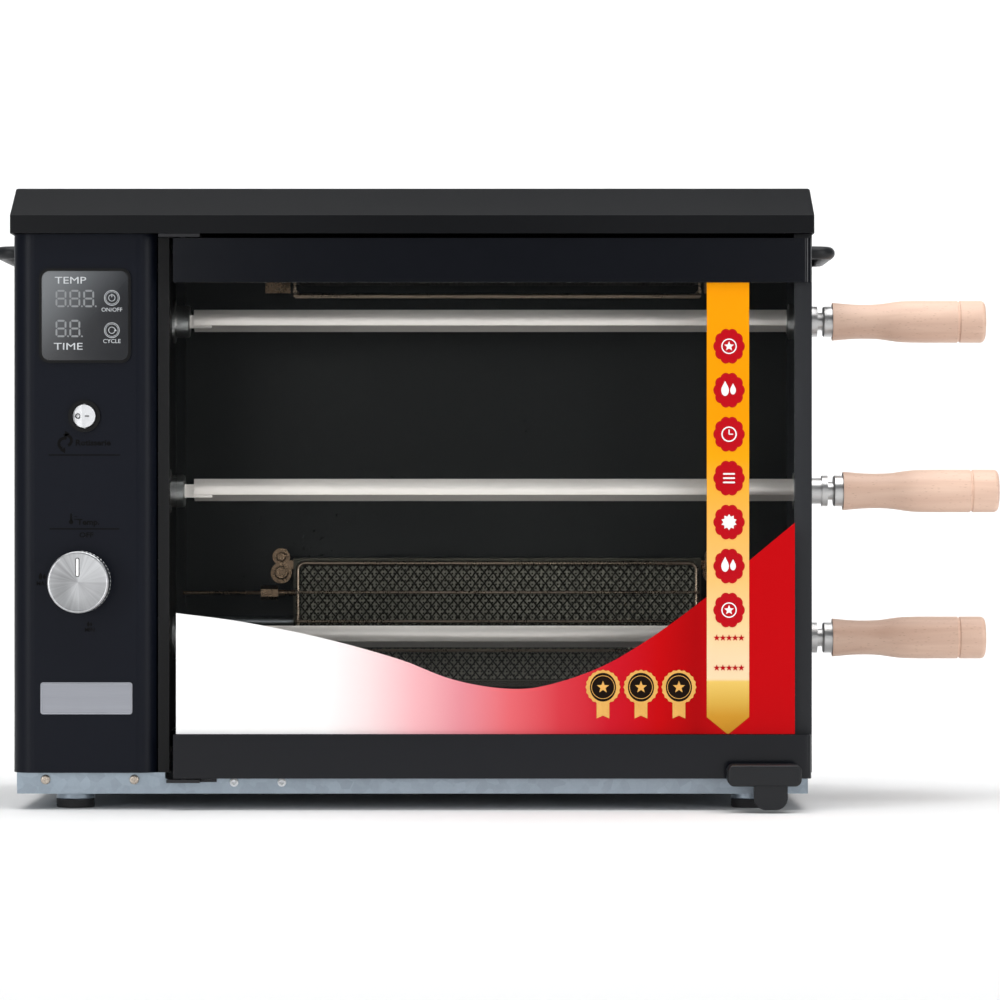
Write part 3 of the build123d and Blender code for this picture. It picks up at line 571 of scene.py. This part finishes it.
def words(text, centre, height, spread=1.0, weight=0.0):
    """Raised print of a few plain letters, facing the front; spread widens them, weight thickens them."""
    deselect()
    x, y, z = centre
    bpy.ops.object.text_add(location=(x, y, z - height * 0.36), rotation=(math.pi / 2, 0, 0))
    piece = bpy.context.object
    piece.data.body = text
    piece.data.size = height * 1.42
    piece.data.align_x = "CENTER"
    piece.data.offset = weight
    piece.data.extrude = 0.00005
    piece.data.resolution_u = 3
    bpy.ops.object.convert(target="MESH")
    piece = bpy.context.object
    piece.scale = (spread, 1, 1)
    return piece


lens_face = lens_low[1] - 0.00012
lens_x, lens_z = lens_low[0], lens_high[2]
segment_places = [(0, 1), (0, 0), (0, -1), (-0.5, 0.5), (0.5, 0.5), (-0.5, -0.5), (0.5, -0.5)]


def digit(x, z, width=0.0068, height=0.0116, stroke=0.0014):
    """Seven segments and a point, lit as an eight."""
    strokes = []
    for along, up in segment_places:
        place = (x + along * width, lens_face, z + up * height / 2)
        size = (width * 0.82, stroke) if along == 0 else (stroke, height * 0.43)
        strokes.append(bar(place, size))
    strokes.append(plate(12, 0.0007, (x + width * 0.78, lens_face, z - height / 2)))
    return strokes


digits, digit_inset, digit_pitch = [], 0.0145, 0.0104
for count, drop in ((3, 0.0207), (2, 0.0432)):
    for index in range(count):
        digits += digit(lens_x + digit_inset + digit_pitch * index, lens_z - drop)
piece_done(join_pieces("display_digits", digits), "frame", digit_print)


def touch_ring(x, z):
    """Two thin rings round a touch key."""
    return [ring(0.0058, 0.0004, (x, lens_face, z)), ring(0.0048, 0.0003, (x, lens_face, z))]


ring_x = lens_x + 0.0527
power_z, cycle_z = lens_z - 0.0202, lens_z - 0.0445
symbols = touch_ring(ring_x, power_z) + touch_ring(ring_x, cycle_z)
symbols += [
    ring(0.0026, 0.0004, (ring_x, lens_face, power_z)),
    bar((ring_x, lens_face, power_z + 0.0018), (0.0005, 0.0026)),
    ring(0.0026, 0.0004, (ring_x, lens_face, cycle_z)),
    plate(3, 0.0012, (ring_x + 0.0026, lens_face, cycle_z)),
]
labels = [
    ("TEMP", lens_x + 0.0216, 0.0076, 0.0052, 1.35), ("TIME", lens_x + 0.0200, 0.0572, 0.0052, 1.4),
    ("ON/OFF", ring_x, 0.0294, 0.0030, 1.02), ("CYCLE", ring_x, 0.0530, 0.0030, 1.05),
]
symbols += [words(text, (x, lens_face, lens_z - drop), size, wide) for text, x, drop, size, wide in labels]
piece_done(join_pieces("display_print", symbols), "frame", pale_print)


# Rocker switch
# White gloss rocker with its two hot-stamped marks, in the black bezel.

rocker_white = surfaced(
    "rocker_white", ((0.62, 0.63, 0.65), (0.72, 0.73, 0.74)), (0.14, 0.24), 0.00002, patch=20, grain=700,
    worn=((0.5, 0.5, 0.5), 0.3))
dress(rocker_white, "switch_rocker")
rocker_low, rocker_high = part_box("switch_rocker")
rocker_x, rocker_z = [(rocker_low[axis] + rocker_high[axis]) / 2 for axis in (0, 2)]
off_mark = ring(0.0020, 0.0006, (rocker_x - 0.0050, -0.16132, rocker_z), depth=0.0008, vertices=24)
on_mark = cube(
    "on_mark", (rocker_x + 0.0005, -0.16250, rocker_z - 0.0004),
    (rocker_x + 0.0035, -0.16170, rocker_z + 0.0004))
deselect()
piece_done(join_pieces("rocker_marks", [off_mark, on_mark]), "switch", dark_print)


# Printed marks on the control panel
# Black screen print: a turning-arrow and rule under the switch, a thermometer, rule and OFF mark over
# the knob, and large and small flame marks at the ends of the knob's travel.

panel_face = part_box("control_housing")[0][1] - 0.00007
knob_low, knob_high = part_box("control_knob")
knob_x, knob_z = [(knob_low[axis] + knob_high[axis]) / 2 for axis in (0, 2)]


def flame(x, z, size):
    """A flame-level mark: two drawn-out drops side by side."""
    drops = []
    for side, share in ((-0.35, 1.0), (0.35, 0.75)):
        drop = plate(16, size * 0.34 * share, (x + side * size, panel_face, z), stretch=(1, 1.5))
        bpy.ops.object.mode_set(mode="EDIT")
        pick(drop, "VERT", lambda vertex: vertex.co.z > size * 0.25 * share)
        bpy.ops.transform.resize(value=(0.25, 1, 1.6), center_override=drop.location)
        deselect()
        drops.append(drop)
    return drops


def strokes(*rows):
    """Upright or lying bars, each given from the knob's axis across and from the floor up."""
    return [bar((knob_x + across, panel_face, up), size) for across, up, size in rows]


# Rules, then the thermometer: its stem, two ticks and bulb.
marks = strokes(
    (0.003, 0.2668, (0.054, 0.0009)), (0.003, 0.2113, (0.0525, 0.0009)),
    (-0.007, 0.2200, (0.0014, 0.0060)), (-0.0035, 0.2205, (0.0026, 0.0005)),
    (-0.0035, 0.2185, (0.0026, 0.0005)))
marks.append(plate(20, 0.0017, (knob_x - 0.007, panel_face, 0.2165)))
for text, across, up, size, wide, weight in (
        ("Rotisserie", 0.0095, 0.2756, 0.0042, 1.1, 0.00018), ("OFF", 0.0045, 0.2064, 0.0036, 1.2, 0.00012),
        ("Temp.", 0.0060, 0.2160, 0.0042, 1.1, 0.00018), ("MAX", -0.0285, 0.1700, 0.0030, 1.0, 0.0001),
        ("MIN", 0.0070, 0.1352, 0.0030, 1.0, 0.0001)):
    marks.append(words(text, (knob_x + across, panel_face, up), size, wide, weight))
marks += flame(knob_x - 0.0285, 0.1752, 0.0042) + flame(knob_x + 0.0070, 0.1395, 0.0030)
arrow_x, arrow_z = knob_x - 0.0115, 0.2765
for side in (-1, 1):
    arc = ring(0.0052, 0.0022, (arrow_x, panel_face, arrow_z), vertices=32)
    bpy.ops.object.mode_set(mode="EDIT")
    bpy.ops.mesh.select_all(action="SELECT")
    bpy.ops.mesh.bisect(plane_co=arc.location, plane_no=(side, 0, 0.45), clear_inner=True, use_fill=True)
    bpy.ops.mesh.select_all(action="SELECT")
    bpy.ops.transform.translate(value=(side * 0.0006, 0, side * 0.0012))
    deselect()
    head_place = (arrow_x + side * 0.0012, panel_face, arrow_z + side * 0.0062)
    marks += [arc, plate(3, 0.0026, head_place, turn=side * math.pi / 2)]
piece_done(join_pieces("panel_marks", marks), "frame", dark_print)


# Control knob
# Spun aluminium cap pressed on the valve stem: the turned face carries fine rings in its gloss and bump,
# and a bright fan of light painted into its colour as a highlight, with a rounded rim, a fluted side and a
# painted pointer line.

def bumped(material, source, distance):
    """A bump from a value, on the shader's normal."""
    bump = add_node(material, "ShaderNodeBump", Distance=distance, Height=source)
    link(material, bump.outputs[0], material.node_tree.nodes["Principled BSDF"].inputs["Normal"])


def spun_aluminium_painted_fan(centre):
    """A turned face: rings of gloss and height about the centre, under a painted highlight of paler rays
    and streaks in the colour.
    """
    material, shader = finish("spun_aluminium_painted_fan")
    shader.inputs["Metallic"].default_value = 1.0
    shader.inputs["Anisotropic"].default_value = 0.6
    centred = add_node(
        material, "ShaderNodeMapping", Location=(-centre[0], 0, -centre[2]), Scale=(1, 0, 1),
        Vector=object_place(material)).outputs[0]
    reach = add_node(material, "ShaderNodeVectorMath", operation="LENGTH")
    link(material, centred, reach.inputs[0])
    rings = add_node(
        material, "ShaderNodeTexNoise", noise_dimensions="1D", Scale=2600, Detail=3,
        W=reach.outputs["Value"])
    link(material, between(material, rings.outputs["Fac"], 0.28, 0.42), shader.inputs["Roughness"])
    bumped(material, rings.outputs["Fac"], 0.00002)
    grooves = add_node(material, "ShaderNodeTangent", direction_type="RADIAL", axis="Y")
    link(material, grooves.outputs[0], shader.inputs["Tangent"])
    split = add_node(material, "ShaderNodeSeparateXYZ", Vector=centred)
    # Painted highlight: a two-lobed fan and radial streaks are painted into the base colour and stand in
    # for the light thrown off the turned rings.
    angle = maths(material, "ARCTAN2", split.outputs["Z"], split.outputs["X"])
    painted_fan_highlight = maths(material, "COSINE", maths(material, "MULTIPLY_ADD", angle, 2.0, -1.9))
    painted_highlight_streaks = add_node(material, "ShaderNodeTexNoise", noise_dimensions="1D", Scale=6, Detail=3, W=angle)
    both = maths(material, "MULTIPLY_ADD", painted_fan_highlight, 0.18, painted_highlight_streaks.outputs["Fac"])
    tone = blended(material, both, (0.34, 0.34, 0.35), (0.60, 0.61, 0.62))
    link(material, tone, shader.inputs["Base Color"])
    return material


sign_white = surfaced(
    "sign_white", ((0.85, 0.85, 0.85), (0.95, 0.95, 0.95)), (0.3, 0.4), 0.00001, grain=900)
knob_metal = spun_aluminium_painted_fan((knob_x, 0, knob_z))
knob_radius = (knob_high[0] - knob_low[0]) / 2
deselect()
bpy.ops.mesh.primitive_cylinder_add(
    vertices=96, radius=knob_radius, depth=knob_high[1] - knob_low[1],
    location=(knob_x, (knob_low[1] + knob_high[1]) / 2, knob_z), rotation=(math.pi / 2, 0, 0))
knob = bpy.context.object
knob.name = "knob_cap"
bpy.ops.object.transform_apply(location=True, rotation=True, scale=True)
bpy.ops.object.mode_set(mode="EDIT")
pick(knob, "FACE", lambda face: face.normal.y < -0.9)
bpy.ops.mesh.bevel(offset=0.0016, segments=3)
pick(knob, "FACE", lambda face: face.normal.y < -0.99)
bpy.ops.mesh.inset(thickness=0.0007, depth=-0.00025)
flute_turn = 2 * math.pi / 48  # one flute to every second of the cap's 96 sides
pick(knob, "FACE", lambda face: abs(face.normal.y) < 0.05 and (
    math.atan2(face.normal.z, face.normal.x) % flute_turn) < flute_turn / 2)
bpy.ops.mesh.inset(thickness=0.0003, depth=-0.0004, use_individual=True)
deselect()
piece_done(knob, "knob", knob_metal, smooth=25)
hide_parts("control_knob")
# The dark bar a little wider than the white pointer line is painted shade for the walls of its groove.
for name, half, face, finish_used in (
        ("pointer_groove_painted_shade", 0.0016, 0.0002, dark_print), ("pointer_line", 0.0010, 0.0, sign_white)):
    pointer = cube(
        name, (knob_x - 0.0005 - half, knob_low[1] + face, knob_z + 0.0056 - half),
        (knob_x - 0.0005 + half, knob_low[1] + 0.0006, knob_z + 0.0168 + half))
    pick(pointer, "EDGE", lambda edge: abs(edge.verts[0].co.y - edge.verts[1].co.y) > 0.0001)
    bpy.ops.mesh.bevel(offset=half * 0.9, segments=4)
    deselect()
    piece_done(pointer, "knob", finish_used)


# Nameplate
# Blank satin aluminium plate with a fine raised border, glued to the housing under the knob.

plate_metal = surfaced(
    "plate_metal", ((0.27, 0.28, 0.31), (0.36, 0.37, 0.41)), (0.38, 0.5), 0.00001,
    patch=5, grain=60, stretch=(1, 1, 30), metallic=0.5)
name_low, name_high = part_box("nameplate")
nameplate = cube("blank_nameplate", name_low, name_high)
pick(nameplate, "EDGE", lambda edge: abs(edge.verts[0].co.y - edge.verts[1].co.y) > 0.0001)
bpy.ops.mesh.bevel(offset=0.002, segments=5)
for width, depth in ((0.0006, 0.0), (0.0004, -0.00025), (0.0004, 0.0), (0.0002, 0.00015)):
    pick(nameplate, "FACE", lambda face: face.normal.y < -0.99 and face.calc_area() > 0.0008)
    bpy.ops.mesh.inset(thickness=width, depth=depth)
deselect()
piece_done(nameplate, "frame", plate_metal, smooth=2)
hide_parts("nameplate")


# Door
# Two gloss black rails hold a clear tempered pane; a laminated print covers its lower edge and carries
# an upright ribbon of rosettes.

door_gloss = gloss_black("door_gloss", (0.0035, 0.004, 0.006), (0.15, 0.18), 0.1)
door_gloss.node_tree.nodes["Principled BSDF"].inputs["Specular IOR Level"].default_value = 0.22
dress(door_gloss, "door_top_rail", "door_bottom_rail")


def clear_pane():
    """Clear glass that lets light through to the cavity instead of casting a solid shadow."""
    material, shader = finish("door_pane")
    shader.inputs["Base Color"].default_value = (0.95, 0.97, 0.965, 1)
    shader.inputs["Transmission Weight"].default_value = 1.0
    shader.inputs["IOR"].default_value = 1.22
    haze = add_node(material, "ShaderNodeTexNoise", Scale=7, Detail=5, Vector=object_place(material))
    link(material, between(material, haze.outputs["Fac"], 0.0, 0.03), shader.inputs["Roughness"])
    path = add_node(material, "ShaderNodeLightPath")
    clear = add_node(material, "ShaderNodeBsdfTransparent", Color=(0.93, 0.95, 0.945, 1))
    mix = add_node(material, "ShaderNodeMixShader", Fac=path.outputs["Is Shadow Ray"])
    link(material, shader.outputs[0], mix.inputs[1])
    link(material, clear.outputs[0], mix.inputs[2])
    link(material, mix.outputs[0], material.node_tree.nodes["Material Output"].inputs["Surface"])
    return material


dress(clear_pane(), "door_glass")


def ramp_finish(name, axis, span, stops):
    """Printed film whose colour runs along one axis; stops are (share of the span, colour), 0 to 1."""
    material, shader = finish(name)
    shader.inputs["Specular IOR Level"].default_value = 0.05
    place = object_place(material)
    split = add_node(material, "ShaderNodeSeparateXYZ", Vector=place)
    speckle = add_node(material, "ShaderNodeTexNoise", Scale=900, Detail=2, Vector=place)
    share = between(material, split.outputs[axis], 0, 1, span)
    ramp = add_node(material, "ShaderNodeValToRGB", Fac=share)
    band = ramp.color_ramp.elements
    band[0].color, band[1].color = (*stops[0][1], 1), (*stops[-1][1], 1)
    for position, tone in stops[1:-1]:
        band.new(position).color = (*tone, 1)
    link(material, ramp.outputs[0], shader.inputs["Base Color"])
    link(material, between(material, speckle.outputs["Fac"], 0.22, 0.3), shader.inputs["Roughness"])
    bumped(material, speckle.outputs["Fac"], 0.000008)
    return material


glass_low, glass_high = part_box("door_glass")
rail_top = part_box("door_bottom_rail")[1][2]
rail_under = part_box("door_top_rail")[0][2]
wave_red = ramp_finish("wave_red", "X", (glass_low[0], glass_high[0]), [
    (0.0, (0.96, 0.96, 0.96)), (0.24, (0.95, 0.93, 0.92)), (0.31, (0.92, 0.74, 0.74)),
    (0.385, (0.90, 0.47, 0.50)), (0.46, (0.79, 0.28, 0.32)), (0.54, (0.78, 0.14, 0.16)),
    (0.62, (0.66, 0.046, 0.062)), (0.70, (0.58, 0.010, 0.022)), (0.78, (0.54, 0.0022, 0.004)),
    (0.84, (0.40, 0.0015, 0.003)), (0.90, (0.53, 0.0020, 0.0045)), (1.0, (0.53, 0.0020, 0.0045)),
])
wave_crest = [
    (-0.241, 0.148), (-0.192, 0.1415), (-0.132, 0.1295), (-0.072, 0.1130), (-0.034, 0.0985),
    (0.003, 0.0915), (0.033, 0.0925), (0.078, 0.1070), (0.116, 0.1290), (0.157, 0.1590), (0.190, 0.1870),
    (0.2245, 0.2157),
]


def crest_height(x):
    """Height of the wave's edge: a smooth curve through its crest points."""
    index = max(i for i, point in enumerate(wave_crest[:-1]) if point[0] <= x + 1e-6)
    before, after = wave_crest[max(index - 1, 0)], wave_crest[min(index + 2, len(wave_crest) - 1)]
    (x0, z0), (x1, z1) = wave_crest[index], wave_crest[index + 1]
    slope0, slope1 = (z1 - before[1]) / (x1 - before[0]), (after[1] - z0) / (after[0] - x0)
    t, run = (x - x0) / (x1 - x0), x1 - x0
    return (
        (2 * t**3 - 3 * t**2 + 1) * z0 + (t**3 - 2 * t**2 + t) * run * slope0
        + (3 * t**2 - 2 * t**3) * z1 + (t**3 - t**2) * run * slope1)


print_step = 0.0002
film_face = glass_low[1] - print_step
deselect()
bpy.ops.mesh.primitive_grid_add(x_subdivisions=120, y_subdivisions=3, size=1, rotation=(math.pi / 2, 0, 0))
film = bpy.context.object
film.name = "film_wave"
bpy.ops.object.transform_apply(rotation=True)
for vertex in film.data.vertices:
    x = glass_low[0] + (vertex.co.x + 0.5) * (glass_high[0] - glass_low[0])
    z = rail_top + 0.0003 + (vertex.co.z + 0.5) * (crest_height(x) - rail_top)
    vertex.co = (x, film_face, z)
bpy.ops.object.mode_set(mode="EDIT")
bpy.ops.mesh.select_all(action="SELECT")
bpy.ops.mesh.extrude_region_move(TRANSFORM_OT_translate={"value": (0, 0.0001, 0)})
bpy.ops.mesh.select_all(action="SELECT")
bpy.ops.mesh.normals_make_consistent(inside=False)
deselect()
piece_done(film, "door", wave_red)

ribbon_gold = ramp_finish("ribbon_gold", "Z", (rail_top, rail_under), [
    (0.0, (0.55, 0.24, 0.02)), (0.04, (0.62, 0.30, 0.03)), (0.078, (0.72, 0.44, 0.08)),
    (0.118, (0.84, 0.57, 0.14)), (0.122, (0.92, 0.69, 0.43)), (0.17, (0.92, 0.675, 0.41)),
    (0.255, (0.92, 0.63, 0.30)), (0.34, (0.92, 0.54, 0.18)), (0.52, (0.92, 0.44, 0.058)),
    (0.61, (0.92, 0.38, 0.006)), (0.70, (0.92, 0.33, 0.002)), (1.0, (0.92, 0.33, 0.002)),
])
ribbon_face = film_face - print_step
ribbon_x, ribbon_half, ribbon_point = 0.1743, 0.0159, 0.0125
ribbon = cube(
    "film_ribbon", (ribbon_x - ribbon_half, ribbon_face, rail_top + 0.0005 + ribbon_point),
    (ribbon_x + ribbon_half, ribbon_face + 0.0001, rail_under - 0.0003))
pick(ribbon, "FACE", lambda face: face.normal.z < -0.9)
bpy.ops.mesh.extrude_region_move(TRANSFORM_OT_translate={"value": (0, 0, -ribbon_point)})
bpy.ops.transform.resize(value=(0.04, 1, 1), center_override=(ribbon_x, ribbon_face, rail_top))
deselect()
piece_done(ribbon, "door", ribbon_gold)


# Printed rosettes, stars and medals
# Seven red scalloped rosettes down the ribbon with plain white signs, two rows of stars below them and
# three small award medals on the wave, all part of the same laminated print.

rosette_red = surfaced(
    "rosette_red", ((0.44, 0.003, 0.008), (0.54, 0.005, 0.012)), (0.3, 0.4), 0.00001,
    patch=30, grain=900, shine=0.06)
medal_gold = surfaced(
    "medal_gold", ((0.62, 0.28, 0.05), (0.93, 0.56, 0.16)), (0.28, 0.38), 0.00001,
    patch=110, grain=900, shine=0.1)
medal_black = surfaced(
    "medal_black", ((0.006, 0.003, 0.002), (0.016, 0.009, 0.005)), (0.3, 0.4), 0.00001,
    patch=60, grain=900, shine=0.05)


def pointed(points, radius, centre, waist):
    """A star or toothed plate: a many-sided plate with every other corner drawn in."""
    piece = plate(points * 2, radius, centre)
    bpy.ops.object.mode_set(mode="EDIT")
    step = math.pi / points
    pick(piece, "VERT", lambda vertex: round(math.atan2(vertex.co.x, vertex.co.z) / step) % 2 == 1)
    bpy.ops.transform.resize(value=(waist, 1, waist), center_override=piece.location)
    deselect()
    return piece


def scalloped(petals, radius, centre, stretch=(1, 1)):
    """A round plate whose rim runs in shallow petals, six corners to a petal."""
    piece = plate(petals * 6, radius, centre, stretch=stretch)
    step = 2 * math.pi / (petals * 6)
    for corners, share in (((0,), 0.90), ((1, 5), 0.955), ((2, 4), 0.99)):
        bpy.ops.object.mode_set(mode="EDIT")
        pick(piece, "VERT", lambda vertex: (
            round(math.atan2(vertex.co.x, vertex.co.z) / step) % 6 in corners))
        bpy.ops.transform.resize(value=(share, 1, share), center_override=piece.location)
        deselect()
    return piece


rosette_face = ribbon_face - print_step
sign_face = rosette_face - print_step


def round_sign(x, z):
    return [ring(0.0058, 0.0009, (x, sign_face, z)), pointed(5, 0.0038, (x, sign_face, z), 0.45)]


def flame_sign(x, z):
    drops = flame(x, z, 0.0085)
    for drop in drops:
        drop.location.y = sign_face
    return drops


def clock_sign(x, z):
    minute = bar((x, sign_face, z + 0.0016), (0.0009, 0.0040))
    hour = bar((x + 0.0015, sign_face, z), (0.0034, 0.0009))
    return [ring(0.0058, 0.0010, (x, sign_face, z)), minute, hour]


def sun_sign(x, z):
    return [pointed(10, 0.0060, (x, sign_face, z), 0.72)]


def shelf_sign(x, z):
    return [bar((x, sign_face, z + rise), (0.0092, 0.0013)) for rise in (-0.0032, 0.0, 0.0032)]


rosette_top, rosette_pitch, star_pitch = 0.3484, 0.033, 0.0046
rosette_x = ribbon_x + 0.0008
rosette_signs = [round_sign, flame_sign, clock_sign, shelf_sign, sun_sign, flame_sign, round_sign]
rosettes, signs = [], []
for index, sign in enumerate(rosette_signs):
    rosette_z = rosette_top - rosette_pitch * index
    rosettes.append(scalloped(10, 0.0118, (rosette_x, rosette_face, rosette_z), stretch=(1, 1.14)))
    signs += sign(rosette_x, rosette_z)
for z in (0.1295, 0.1070):
    for index in range(-2, 3):
        rosettes.append(pointed(5, 0.0026, (rosette_x + star_pitch * index, rosette_face, z), 0.42))
piece_done(join_pieces("film_rosettes", rosettes), "door", rosette_red)
piece_done(join_pieces("film_signs", signs), "door", sign_white)

medal_face, medal_z, layer = film_face - print_step, 0.0925, 0.0001
tail_half, tail_top, tail_end, tail_notch = 0.0048, medal_z - 0.008, medal_z - 0.0235, 0.0022
medal_golds, medal_blacks = [], []
for x in (0.0805, 0.1090, 0.1375):
    tail = cube(
        "tail", (x - tail_half, medal_face, tail_end), (x + tail_half, medal_face + layer, tail_top))
    bpy.ops.mesh.select_all(action="SELECT")
    bpy.ops.mesh.bisect(plane_co=(x, medal_face, medal_z), plane_no=(1, 0, 0))
    pick(tail, "VERT", lambda vertex: abs(vertex.co.x - x) < 0.0001 and vertex.co.z < medal_z - 0.02)
    bpy.ops.transform.translate(value=(0, 0, tail_notch))
    deselect()
    medal_golds.append(tail)
    medal_golds.append(pointed(20, 0.0132, (x, medal_face - layer, medal_z), 0.94))
    medal_blacks.append(plate(40, 0.0100, (x, medal_face - 2 * layer, medal_z), stretch=(0.98, 1.08)))
    medal_golds.append(ring(0.0088, 0.0004, (x, medal_face - 3 * layer, medal_z)))
    medal_golds.append(pointed(5, 0.0048, (x, medal_face - 3 * layer, medal_z), 0.42))
piece_done(join_pieces("film_medal_grounds", medal_blacks), "door", medal_black)
piece_done(join_pieces("film_medals", medal_golds), "door", medal_gold)


# Hinges, hubs, skewers and gears
# Turned parts are bright steel; the skewer blades are drawn along their length and polished, with
# turned beech handles, and the gears inside the control box are cut from darker steel.

bright_steel = surfaced(
    "bright_steel", ((0.50, 0.50, 0.50), (0.66, 0.65, 0.64)), (0.24, 0.38), 0.00001,
    patch=14, grain=1200, metallic=1.0)
dress(bright_steel, "spindle_bushes", "skewer_bushes", "idler_posts", "valve_stem")
dress(black_zinc, "hinge_brackets")
drawn_steel = surfaced(
    "drawn_steel", ((0.86, 0.77, 0.72), (0.96, 0.89, 0.85)), (0.28, 0.31), 0.000003,
    patch=30, grain=400, stretch=(0.02, 1, 1), metallic=0.62)


def beech_finish():
    """Pale steamed beech: long pinkish grain along the handle with short dark flecks."""
    material, shader = finish("oiled_beech")
    shader.inputs["Coat Weight"].default_value = 0.12
    shader.inputs["Coat Roughness"].default_value = 0.35
    place = object_place(material)
    grain_place, fleck_place = [
        add_node(material, "ShaderNodeMapping", Vector=place, Scale=(squeeze, 1, 1)).outputs[0]
        for squeeze in (0.09, 0.22)]
    bands = add_node(
        material, "ShaderNodeTexNoise", Scale=120, Detail=6, Distortion=0.6, Vector=grain_place)
    tone = add_node(material, "ShaderNodeValToRGB", Fac=bands.outputs["Fac"])
    shade, light = tone.color_ramp.elements
    shade.position, shade.color = 0.25, (0.68, 0.435, 0.325, 1)
    light.position, light.color = 0.75, (0.83, 0.585, 0.455, 1)
    flecks = add_node(material, "ShaderNodeTexVoronoi", Scale=700, Vector=fleck_place)
    dark = between(material, flecks.outputs["Distance"], 0.45, 0.0, (0.10, 0.22))
    wood = blended(material, dark, tone.outputs[0], (0.42, 0.22, 0.13))
    link(material, wood, shader.inputs["Base Color"])
    link(material, between(material, bands.outputs["Fac"], 0.42, 0.6), shader.inputs["Roughness"])
    bumped(material, bands.outputs["Fac"], 0.00006)
    return material


oiled_beech = beech_finish()
for name in ("top", "middle", "bottom"):
    dress(drawn_steel, "skewer_blade_" + name)
    dress(bright_steel, "skewer_collar_" + name, "drive_hub_" + name)
    dress(oiled_beech, "skewer_handle_" + name)
gear_steel = surfaced(
    "gear_steel", ((0.20, 0.20, 0.21), (0.34, 0.34, 0.35)), (0.28, 0.45), 0.00003, grain=900, metallic=1.0)
dress(
    gear_steel, "motor_pinion", "upper_idler_gear", "lower_idler_gear",
    "spindle_gear_top", "spindle_gear_middle", "spindle_gear_bottom")


# Cavity and burners
# Dark enamelled liner and tray; perforated ceramic tiles in heat-stained steel boxes behind wire guards.

liner_enamel = surfaced(
    "liner_enamel", ((0.0015, 0.0020, 0.0018), (0.008, 0.009, 0.008)), (0.26, 0.44), 0.00005,
    patch=5, grain=220, worn=((0.05, 0.05, 0.045), 0.3), shine=0.25)
dress(liner_enamel, "cavity_liner", "drip_tray")
burner_steel = surfaced(
    "burner_steel", ((0.040, 0.037, 0.030), (0.10, 0.09, 0.07)), (0.3, 0.5), 0.00004,
    patch=18, grain=600, metallic=0.9)
dress(burner_steel, "lower_burner_box", "upper_burner_box")
heat_tinted = surfaced(
    "heat_tinted", ((0.10, 0.055, 0.028), (0.36, 0.25, 0.17)), (0.2, 0.36), 0.00002,
    patch=90, grain=900, metallic=1.0)
dress(heat_tinted, "burner_brackets", "igniter_rod")
guard_wire = surfaced(
    "guard_wire", ((0.24, 0.17, 0.12), (0.55, 0.43, 0.33)), (0.2, 0.4), 0.00002,
    patch=14, grain=900, metallic=1.0)
dress(guard_wire, "lower_wire_guard", "upper_wire_guard")


def perforated_ceramic():
    """Chalky ceramic browned in patches, with rows of fine holes pressed in by a bump and painted near
    black as their shade.
    """
    material, shader = finish("perforated_ceramic")
    shader.inputs["Roughness"].default_value = 0.9
    place = object_place(material)
    cells = add_node(material, "ShaderNodeTexVoronoi", Scale=340, Randomness=0.0, Vector=place)
    stain = add_node(material, "ShaderNodeTexNoise", Scale=14, Detail=4, Vector=place)
    # The hole mask paints painted shade, near black, into the holes and also drives the bump that presses
    # them in.
    hole = between(material, cells.outputs["Distance"], 0, 1, (0.28, 0.42))
    chalk = blended(material, stain.outputs["Fac"], (0.16, 0.15, 0.12), (0.34, 0.32, 0.26))
    link(material, blended(material, hole, (0.02, 0.018, 0.015), chalk), shader.inputs["Base Color"])
    bumped(material, hole, 0.0006)
    return material


dress(perforated_ceramic(), "lower_ceramic_tiles", "upper_ceramic_tiles")


# Burner screens
# A sheet of expanded steel with upright diamond openings lies just in front of each row of tiles.

screen_steel = surfaced(
    "screen_steel", ((0.030, 0.028, 0.024), (0.075, 0.068, 0.055)), (0.4, 0.6), 0.00003,
    patch=22, grain=700, metallic=0.7)


screen_gap, strand_width = 0.0012, 0.0011


def expanded_screen(name, node, upright):
    """Diamond mesh over the face of a row of tiles, standing or lying."""
    low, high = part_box(node)
    middle = [(a + b) / 2 for a, b in zip(low, high)]
    across, along = (1, 2) if upright else (2, 1)
    middle[across] = low[across] - screen_gap
    deselect()
    bpy.ops.mesh.primitive_grid_add(x_subdivisions=62, y_subdivisions=62, size=0.31)
    screen = bpy.context.object
    screen.name = name
    screen.rotation_euler = (math.pi / 2, math.pi / 4, 0) if upright else (0, 0, math.pi / 4)
    bpy.ops.object.transform_apply(rotation=True)
    screen.scale = (1, 1.27, 1.27)
    screen.location = middle
    bpy.ops.object.transform_apply()
    bpy.ops.object.mode_set(mode="EDIT")
    for axis, sign in ((0, 1), (0, -1), (along, 1), (along, -1)):
        edge, outwards = list(middle), [0, 0, 0]
        edge[axis] = (high if sign > 0 else low)[axis] - sign * 0.0005
        outwards[axis] = sign
        bpy.ops.mesh.select_all(action="SELECT")
        bpy.ops.mesh.bisect(plane_co=edge, plane_no=outwards, clear_outer=True)
    deselect()
    bpy.context.view_layer.objects.active = screen
    strands = screen.modifiers.new("strands", "WIREFRAME")
    strands.thickness = strand_width
    bpy.ops.object.modifier_apply(modifier="strands")
    return piece_done(screen, "frame", screen_steel)


expanded_screen("lower_burner_screen", "lower_ceramic_tiles", True)
expanded_screen("upper_burner_screen", "upper_ceramic_tiles", False)


# Gas fittings
# Turned brass inlet and valve, joined by a drawn steel pipe behind the cavity.

brass = surfaced(
    "turned_brass", ((0.50, 0.34, 0.12), (0.72, 0.52, 0.22)), (0.2, 0.36), 0.00002, metallic=1.0)
dress(brass, "gas_inlet", "valve_body")
drawn_tube = surfaced(
    "drawn_tube", ((0.42, 0.43, 0.45), (0.58, 0.59, 0.61)), (0.3, 0.45), 0.00002, metallic=1.0)
dress(drawn_tube, "gas_manifold")
